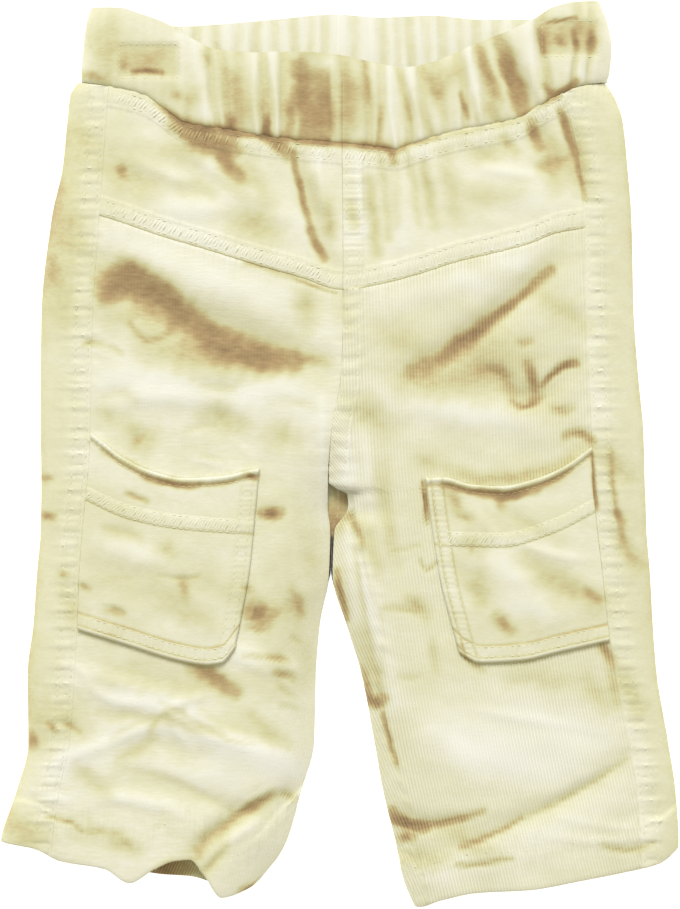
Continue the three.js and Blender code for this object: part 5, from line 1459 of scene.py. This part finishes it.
# %% [markdown]
# ## Rows of stitches
# Single rows run along both sides of each seam strip, round the hems, the pockets and the
# elastic's boxes, and the rungs of a cover stitch fill the strips of the yoke and the pockets. A
# row follows a seam's line at an offset and lies on the surface of its own piece.

# %% Rows of stitches
BOTH_ROWS = (STITCH_IN, FELL_WIDTH - STITCH_IN)
YOKE_RUNG_PITCH = 1.45
HEM_ENDS = {"left": (-34, -118), "right": (30, 123)}  # x of the hem's row
HEM_SUNK = {"left": 0.14, "right": 0.02}  # both hems are worn, so their stitches hardly stand out
LEG_CENTRE_ROWS, YOKE_CENTRE_ROWS = (66, -8), (126, 72)  # y of the rows of the centre seam


def leg_top(half):
    """The surface on which a leg's stitches lie, as the next four are for the other pieces."""
    return lambda x, y: front_z(half, x, y) + leg_relief(half, x, y) - HEM_SUNK[half]


def yoke_top(half):
    return lambda x, y: front_z(half, x, y) + yoke_relief(half, x, y)


def panel_top(half):
    return lambda x, y: front_z(half, x, y) + panel_relief(half, x, y)


def share_from(start, end, value):
    """The share of the way from start to end that a value has gone, kept within 0 and 1."""
    return np.clip((value - start) / (end - start), 0, 1)


def pocket_top(half):
    def top(x, y):
        u = share_from(pocket_inner[half](y), seam_x[half](y), x)
        v = share_from(pocket_mouth[half](x), pocket_base[half](x), y)
        return pocket_z(half, x, y) + pocket_relief(half, x, y, u, v)

    return top


def band_top(half):
    def top(x, y):
        v = share_from(band_top_front(x), band_seam_front(x), y)
        return band_front_z(half, x, y) + band_relief(x, y, v) - 0.06

    return top


def across_rows(half, line, x0, x1, offsets, top):
    """Rows beside a line across the garment, from x0 to x1."""
    xs = np.linspace(x0, x1, 240)
    return [stitch_row(xs, line(xs) + offset, top) for offset in offsets]


def down_rows(half, line, y0, y1, offsets, top):
    """Rows beside a line down the garment, from y0 to y1."""
    ys = np.linspace(y0, y1, 300)
    return [stitch_row(line(ys) + OUTWARD[half] * offset, ys, top) for offset in offsets]


def leg_stitches(half):
    """The hem's row, and on the right leg both rows of the centre seam."""
    top = leg_top(half)
    rows = across_rows(half, hem_front[half], *HEM_ENDS[half], (HEM_ROW,), top)
    if half == "right":
        rows += down_rows(half, inner_x["right"], *LEG_CENTRE_ROWS, BOTH_ROWS, top)
    return rows


def yoke_stitches(half):
    """Rows and rungs on the strips below the waistband and above the V, and the centre seam's."""
    sign = OUTWARD[half]
    top = yoke_top(half)
    below = lambda x: band_seam_front(x) - BAND_GAP
    upper_rows = [-offset for offset in BOTH_ROWS]
    rows = across_rows(half, yoke_line, 2 * sign, 100 * sign, BOTH_ROWS, top)
    rows += across_rows(half, below, 2 * sign, 95 * sign, upper_rows, top)
    xs = np.linspace(2 * sign, 95 * sign, 200)
    for middle in (below(xs) - FELL_WIDTH / 2, yoke_line(xs) + FELL_WIDTH / 2):
        rows.append(rungs(xs, middle, top, FELL_WIDTH - 2 * STITCH_IN, YOKE_RUNG_PITCH))
    if half == "right":
        rows += down_rows(half, inner_x["right"], *YOKE_CENTRE_ROWS, BOTH_ROWS, top)
    return rows


def panel_stitches(half):
    """Both rows beside the front seam, and the part of the hem's row that lies on the panel."""
    sign = OUTWARD[half]
    top = panel_top(half)
    high = float(band_seam_front(seam_x[half](150.0))) - 2
    low = float(hem_front[half](seam_x[half](-175.0))) + 1
    rows = down_rows(half, seam_x[half], high, low, BOTH_ROWS, top)
    x0 = float(seam_x[half](-155.0)) + sign * 9
    return rows + across_rows(half, hem_front[half], x0, x0 + sign * 8, (HEM_ROW,), top)


def pocket_stitches(half):
    """The mouth's row, the band of cover stitch, and the rows of the lower and inner edges."""
    sign = OUTWARD[half]
    top = pocket_top(half)
    mouth, base, band = pocket_mouth[half], pocket_base[half], pocket_band[half]
    inner_low = float(pocket_inner[half](-78.0))
    inner_high = float(pocket_inner[half](-12.0))
    outer = float(seam_x[half](-30.0)) - sign * 1.5
    rows = across_rows(half, mouth, inner_high + sign * 2, outer, (-3.6,), top)
    across = (inner_high + sign * (POCKET_STRIP + 1.5), outer)
    rows += across_rows(half, band, *across, (-0.2, -POCKET_BAND_WIDE + 0.2), top)
    xs = np.linspace(*across, 160)
    middle = band(xs) - POCKET_BAND_WIDE / 2
    rows.append(rungs(xs, middle, top, POCKET_BAND_WIDE - 1.2, pitch=1.3, lean=0.5, radius=0.3))
    offsets = (2.4, POCKET_BASE_STRIP - 0.6)
    rows += across_rows(half, base, inner_low + sign * 3, outer, offsets, top)
    offsets = (2.4, POCKET_STRIP - 0.6)
    rows += down_rows(half, pocket_inner[half], -14, -76, offsets, top)
    return rows


def band_stitches(half):
    """A row round the box that holds the elastic's end."""
    box = ELASTIC_BOXES[0 if half == "left" else 1]
    top = band_top(half)
    wide, tall = box.wide / 2, box.tall / 2
    corners_x = box.x + wide * np.array([-1, 1, 1, -1, -1])
    corners_y = box.y + tall * np.array([-1, -1, 1, 1, -1])
    steps = np.linspace(0, 4, 161)
    xs = np.interp(steps, np.arange(5), corners_x)
    ys = np.interp(steps, np.arange(5), corners_y)
    return [stitch_row(xs, ys, top, 2.3, 1.9)]


def cloth_marks(x, y):
    """Thread takes most of the tone of the creases under it."""
    return 0.8 * marks(CREASES, x, y)


def band_marks(x, y):
    return 0.8 * marks(BAND_MARKS, x, y)


SEWING = {
    "leg": (leg_stitches, cloth_marks),
    "yoke": (yoke_stitches, cloth_marks),
    "side": (panel_stitches, cloth_marks),
    "pocket": (pocket_stitches, cloth_marks),
    "band": (band_stitches, band_marks),
}
thread = {}
for half in OUTWARD:
    for part, (rows_of, tone_at) in SEWING.items():
        thread[f"{part}_{half}"] = capsules(f"thread_{part}_{half}", rows_of(half), tone_at)

# %% [markdown]
# ## The colour of aged cotton
# The cotton is an ivory that has yellowed a little. The olive in its folds and the brown in its deepest
# creases are stains and painted shade together. One group turns a tone from 0 to 1 into that colour,
# roughened by noise so that marks end unevenly. Every material uses it, so it is built once, with named
# sockets.

# %% Aged colour
AGED_AND_SHADED = [  # tone and colour, from clean cotton through the olive and brown of stains and painted shade to the painted shade of a dark gap
    (0.00, (0.900, 0.895, 0.835, 1)),
    (0.15, (0.755, 0.738, 0.540, 1)),
    (0.31, (0.655, 0.632, 0.372, 1)),
    (0.46, (0.555, 0.460, 0.235, 1)),
    (0.62, (0.425, 0.300, 0.150, 1)),
    (0.77, (0.290, 0.195, 0.100, 1)),
    (1.00, (0.060, 0.045, 0.030, 1)),
]
TONE_SPAN = 1.3  # the tone at the end of that scale
MOTTLES = ((60.0, 1.4, 1.3), (190.0, 1.5, 0.9), (900.0, 3.0, 0.8))  # scale, stretch and weight
MOTTLED_TONE = 0.45  # a darker mark is mottled no more than this tone is
GROOVE_SHARE = 0.3  # how much painted shade a groove of the weave adds to the tone


def new_group(name, inputs, outputs):
    """A shader node group with named sockets, and its input and output nodes."""
    group = bpy.data.node_groups.new(name, "ShaderNodeTree")
    for label, kind, value in inputs:
        socket = group.interface.new_socket(label, in_out="INPUT", socket_type=kind)
        socket.default_value = value
    for label, kind in outputs:
        group.interface.new_socket(label, in_out="OUTPUT", socket_type=kind)
    return group, group.nodes.new("NodeGroupInput"), group.nodes.new("NodeGroupOutput")


def math_node(tree, operation, a, b=None, clamp=False):
    """A Math node, linked to sockets or set to plain numbers, and its result."""
    node = tree.nodes.new("ShaderNodeMath")
    node.operation = operation
    node.use_clamp = clamp
    for socket, value in zip(node.inputs, (a, b)):
        if isinstance(value, bpy.types.NodeSocket):
            tree.links.new(value, socket)
        elif value is not None:
            socket.default_value = value
    return node.outputs[0]


def stretched_noise(tree, scale, wide, detail=2.0):
    """Noise in the object's own coordinates, drawn out across the garment by `wide`."""
    where = tree.nodes.new("ShaderNodeTexCoord").outputs["Object"]
    stretch = tree.nodes.new("ShaderNodeVectorMath")
    stretch.operation = "MULTIPLY"
    stretch.inputs[1].default_value = (1 / wide, 1.0, 1.0)
    tree.links.new(where, stretch.inputs[0])
    noise = tree.nodes.new("ShaderNodeTexNoise")
    noise.inputs["Scale"].default_value = scale
    noise.inputs["Detail"].default_value = detail
    tree.links.new(stretch.outputs[0], noise.inputs["Vector"])
    return noise.outputs["Fac"]


def cloth_place(tree):
    """The two coordinates of the cloth's own UV map: across the wales and along them."""
    cloth = tree.nodes.new("ShaderNodeUVMap")
    cloth.uv_map = "cloth"
    parts = tree.nodes.new("ShaderNodeSeparateXYZ")
    tree.links.new(cloth.outputs["UV"], parts.inputs[0])
    return parts.outputs[0], parts.outputs[1]


def aged_and_shaded_colour_group():
    """Tone to colour, along AGED_AND_SHADED. Broad and fine noise, drawn out across the garment, makes
    the yellowing uneven in proportion to the tone, and a groove of the weave is a little darker with
    painted shade."""
    inputs = [
        ("Tone", "NodeSocketFloat", 0.0),
        ("Groove", "NodeSocketFloat", 0.0),
        ("Uneven", "NodeSocketFloat", 0.6),
    ]
    group, given, result = new_group("aged and shaded cotton", inputs, [("Color", "NodeSocketColor")])
    calc = partial(math_node, group)
    mottle = None
    for scale, wide, weight in MOTTLES:
        noise = calc("SUBTRACT", stretched_noise(group, scale, wide), 0.5)
        noise = calc("MULTIPLY", noise, weight)
        mottle = noise if mottle is None else calc("ADD", mottle, noise)
    mottle = calc("MULTIPLY", mottle, given.outputs["Uneven"])
    span = calc("MINIMUM", given.outputs["Tone"], MOTTLED_TONE)
    mottle = calc("MULTIPLY", mottle, span)
    tone = calc("ADD", given.outputs["Tone"], mottle)
    # painted shade in the grooves of the weave
    sunk = calc("MULTIPLY", given.outputs["Groove"], calc("ADD", span, 0.3))
    tone = calc("ADD", tone, calc("MULTIPLY", sunk, GROOVE_SHARE))
    ramp = group.nodes.new("ShaderNodeValToRGB")
    stops = ramp.color_ramp.elements
    for place, _ in AGED_AND_SHADED[2:]:
        stops.new(place)
    for stop, (place, colour) in zip(stops, AGED_AND_SHADED):
        stop.position = place
        stop.color = colour
    group.links.new(calc("DIVIDE", tone, TONE_SPAN), ramp.inputs["Fac"])
    group.links.new(ramp.outputs["Color"], result.inputs["Color"])
    return group


aged_and_shaded_colour = aged_and_shaded_colour_group()

# %% [markdown]
# ## Two weaves
# Corduroy has grooves between its wales, and its pile is worn away in places. Twill has fine diagonal
# ribs. Each weave has a group that puts out where it is sunk, for painted shade in the colour, and its
# height, for a bump that is too fine to be modelled.

# %% Weaves
WEAVE_OUTPUTS = [("Groove", "NodeSocketFloat"), ("Height", "NodeSocketFloat")]


def cord_group():
    """The wales: a groove at each whole number of the UV map's u, and fibres of pile on them."""
    group, _, result = new_group("fine corduroy", [], WEAVE_OUTPUTS)
    calc = partial(math_node, group)
    wale, _ = cloth_place(group)
    cosine = calc("COSINE", calc("MULTIPLY", wale, math.pi))
    depth = calc("POWER", calc("ABSOLUTE", cosine), 3.0)
    pile_left = group.nodes.new("ShaderNodeAttribute")
    pile_left.attribute_name = "pile"
    depth = calc("MULTIPLY", depth, pile_left.outputs["Fac"])
    slub = calc("SUBTRACT", stretched_noise(group, 1100.0, 7.0, 2.0), 0.5)
    bare = calc("SUBTRACT", 1.0, pile_left.outputs["Fac"])
    slub = calc("MULTIPLY", calc("MULTIPLY", slub, bare), 0.8)
    depth = calc("ADD", depth, slub)
    pile = stretched_noise(group, 1300.0, 2.2, 3.0)
    raised = calc("SUBTRACT", calc("MULTIPLY", pile, 0.9), depth)
    group.links.new(depth, result.inputs["Groove"])
    group.links.new(raised, result.inputs["Height"])
    return group


RIB_X, RIB_Y = 1.0, 1.3  # mm from one diagonal rib to the next, across and along


def twill_group():
    """Twill: fine diagonal ribs about 0.8 mm apart, broken up by the yarn's unevenness."""
    group, _, result = new_group("brushed twill", [], WEAVE_OUTPUTS)
    calc = partial(math_node, group)
    x, y = cloth_place(group)
    across = calc("MULTIPLY", x, 2 * math.pi / RIB_X)
    along = calc("MULTIPLY", y, 2 * math.pi / RIB_Y)
    rib = calc("SINE", calc("ADD", across, along))
    yarn = stretched_noise(group, 1500.0, 2.4, 3.0)
    raised = calc("ADD", calc("MULTIPLY", rib, 0.08), yarn)
    sunk = calc("MULTIPLY", calc("SUBTRACT", 0.5, raised), 0.8, clamp=True)
    group.links.new(sunk, result.inputs["Groove"])
    group.links.new(raised, result.inputs["Height"])
    return group


fine_cord = cord_group()
brushed_twill = twill_group()
print("shader groups:", [group.name for group in bpy.data.node_groups])

# %% [markdown]
# ## Materials
# Washed cotton is dull, with a nap that catches a little light at its edges, so the shader is
# rough and has a soft sheen. The corduroy, the twill and the thread differ in weave and values.

# %% Materials
def set_inputs(node, values):
    """Gives a node's named inputs their values."""
    for label, value in values.items():
        node.inputs[label].default_value = value


def cotton(name, weave, uneven, bump_mm, sheen):
    """A cotton cloth: aged colour with painted shade, a weave's relief as bump, and a nap's soft sheen.
    """
    material = bpy.data.materials.new(name)
    material.use_nodes = True
    tree = material.node_tree
    shader = tree.nodes["Principled BSDF"]
    set_inputs(shader, {"Roughness": 0.93, "Specular IOR Level": 0.25})
    set_inputs(shader, {"Sheen Weight": sheen, "Sheen Roughness": 0.55})
    set_inputs(shader, {"Sheen Tint": (1.0, 0.98, 0.88, 1)})
    tone = tree.nodes.new("ShaderNodeAttribute")
    tone.attribute_name = "tone"
    colour = tree.nodes.new("ShaderNodeGroup")
    colour.node_tree = aged_and_shaded_colour
    colour.inputs["Uneven"].default_value = uneven
    tree.links.new(tone.outputs["Fac"], colour.inputs["Tone"])
    tree.links.new(colour.outputs["Color"], shader.inputs["Base Color"])
    if weave is not None:
        relief = tree.nodes.new("ShaderNodeGroup")
        relief.node_tree = weave
        tree.links.new(relief.outputs["Groove"], colour.inputs["Groove"])
        bump = tree.nodes.new("ShaderNodeBump")
        set_inputs(bump, {"Strength": 0.8, "Distance": bump_mm * MM})
        tree.links.new(relief.outputs["Height"], bump.inputs["Height"])
        tree.links.new(bump.outputs["Normal"], shader.inputs["Normal"])
    return material


corduroy = cotton("corduroy", fine_cord, uneven=0.7, bump_mm=0.12, sheen=0.25)
twill = cotton("twill", brushed_twill, uneven=0.7, bump_mm=0.10, sheen=0.15)
cotton_thread = cotton("cotton thread", None, uneven=0.4, bump_mm=0.1, sheen=0.1)

# %% [markdown]
# ## The sizes of the cloth
# A maker needs the flat size of every piece. Each row of GROUPS names a wall, its plain solid, its
# material, the slot of its colour and the stitches on it.

# %% Sizes of the cloth
Cut = namedtuple("Cut", "wide long area")  # mm and mm^2 of the flat cloth, without allowances
CUTS = {
    "leg_front": Cut(118, 268, 28500),
    "leg_back": Cut(112, 335, 34000),
    "yoke_twill": Cut(104, 84, 5900),
    "side_twill": Cut(50, 338, 14400),
    "band": Cut(250, 33, 8200),
    "pocket_twill": Cut(76, 82, 5500),
}
GROUPS = [
    ("leg_front", leg_fronts, "front_leg", corduroy, "corduroy", "leg"),
    ("leg_back", leg_backs, "back", corduroy, "corduroy", None),
    ("yoke_twill", yokes, "yoke", twill, "twill", "yoke"),
    ("side_twill", side_panels, "side_panel", twill, "twill", "side"),
    ("band", bands, "waistband", twill, "casing", "band"),
    ("pocket_twill", pockets, "pocket", twill, "twill", "pocket"),
]
print("cloth that shows:", 2 * sum(cut.area for cut in CUTS.values()) / 1e6, "m2")

# %% [markdown]
# ## Putting it together
# The garment lies on a white table that is bright by itself, like paper in daylight. Each wall takes the
# place of its plain solid and rides the one body there is, and its surface is printed as a share of the
# size it was cut to.

# %% Pieces
def place_piece(piece, node, material, sewn):
    piece.data.materials.append(material)
    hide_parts(node)
    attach(piece, "root")
    for stitches in sewn:
        stitches.data.materials.append(cotton_thread)
        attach(stitches, "root")


def outer_area(piece):
    """Half of the closed wall's surface, in mm^2: the area of the cloth that it is made of."""
    area = np.empty(len(piece.data.polygons), dtype=np.float32)
    piece.data.polygons.foreach_get("area", area)
    return float(area.sum()) / 2 / MM**2


FLOOR_HALF = 3.0  # m
FLOOR_BELOW = 0.00005  # m, so that the cloth's lower faces are never in the same plane
SQUARE = ((-1, -1), (1, -1), (1, 1), (-1, 1))
floor_mesh = bpy.data.meshes.new("floor")
corners = [(FLOOR_HALF * x, FLOOR_HALF * y, 0) for x, y in SQUARE]
floor_mesh.from_pydata(corners, [], [(0, 1, 2, 3)])
floor = bpy.data.objects.new("floor", floor_mesh)
bpy.context.scene.collection.objects.link(floor)
floor.location.z = -FLOOR_BELOW
white = bpy.data.materials.new("white table")
white.use_nodes = True
paint = white.node_tree.nodes["Principled BSDF"]
set_inputs(paint, {"Base Color": (0.9, 0.9, 0.9, 1), "Roughness": 1.0})
set_inputs(paint, {"Emission Color": (1, 1, 1, 1), "Emission Strength": 0.75})
floor_mesh.materials.append(white)

for label, pieces, node, material, slot, part in GROUPS:
    for half in OUTWARD:
        stitching = [thread[f"{part}_{half}"]] if part else []
        place_piece(pieces[half], f"{node}_{half}", material, stitching)
        share = outer_area(pieces[half]) / CUTS[label].area
        print(f"{pieces[half].name}: surface is {share:.2f} of its cut")

# %% [markdown]
# ## Light
# A broad soft light stands beyond the waist and shines down along the garment, so that every
# trough across the legs has a shaded upper side. A pale even light fills the rest.

# %% Light
def area_light(name, location, size, power):
    """A rectangle of light that faces the middle of the table."""
    data = bpy.data.lights.new(name, "AREA")
    data.shape = "RECTANGLE"
    data.size, data.size_y = size
    data.energy = power
    light = bpy.data.objects.new(name, data)
    light.location = location
    x, y, z = location
    light.rotation_euler = (math.atan2(math.hypot(x, y), z), 0, math.atan2(x, -y))
    bpy.context.scene.collection.objects.link(light)
    return light


window = area_light("window", location=(-0.5, 4.7, 4.6), size=(3.0, 2.4), power=345.0)
window.data.color = (0.97, 0.985, 1.0)
world = bpy.data.worlds.new("room")
world.use_nodes = True
set_inputs(world.node_tree.nodes["Background"], {"Color": (1.0, 0.96, 0.83, 1), "Strength": 0.55})
bpy.context.scene.world = world
bpy.context.scene.view_settings.view_transform = "Standard"
bpy.context.scene.view_settings.look = "None"
print("window", round(math.dist(window.location, (0, 0, 0)), 2), "m away")
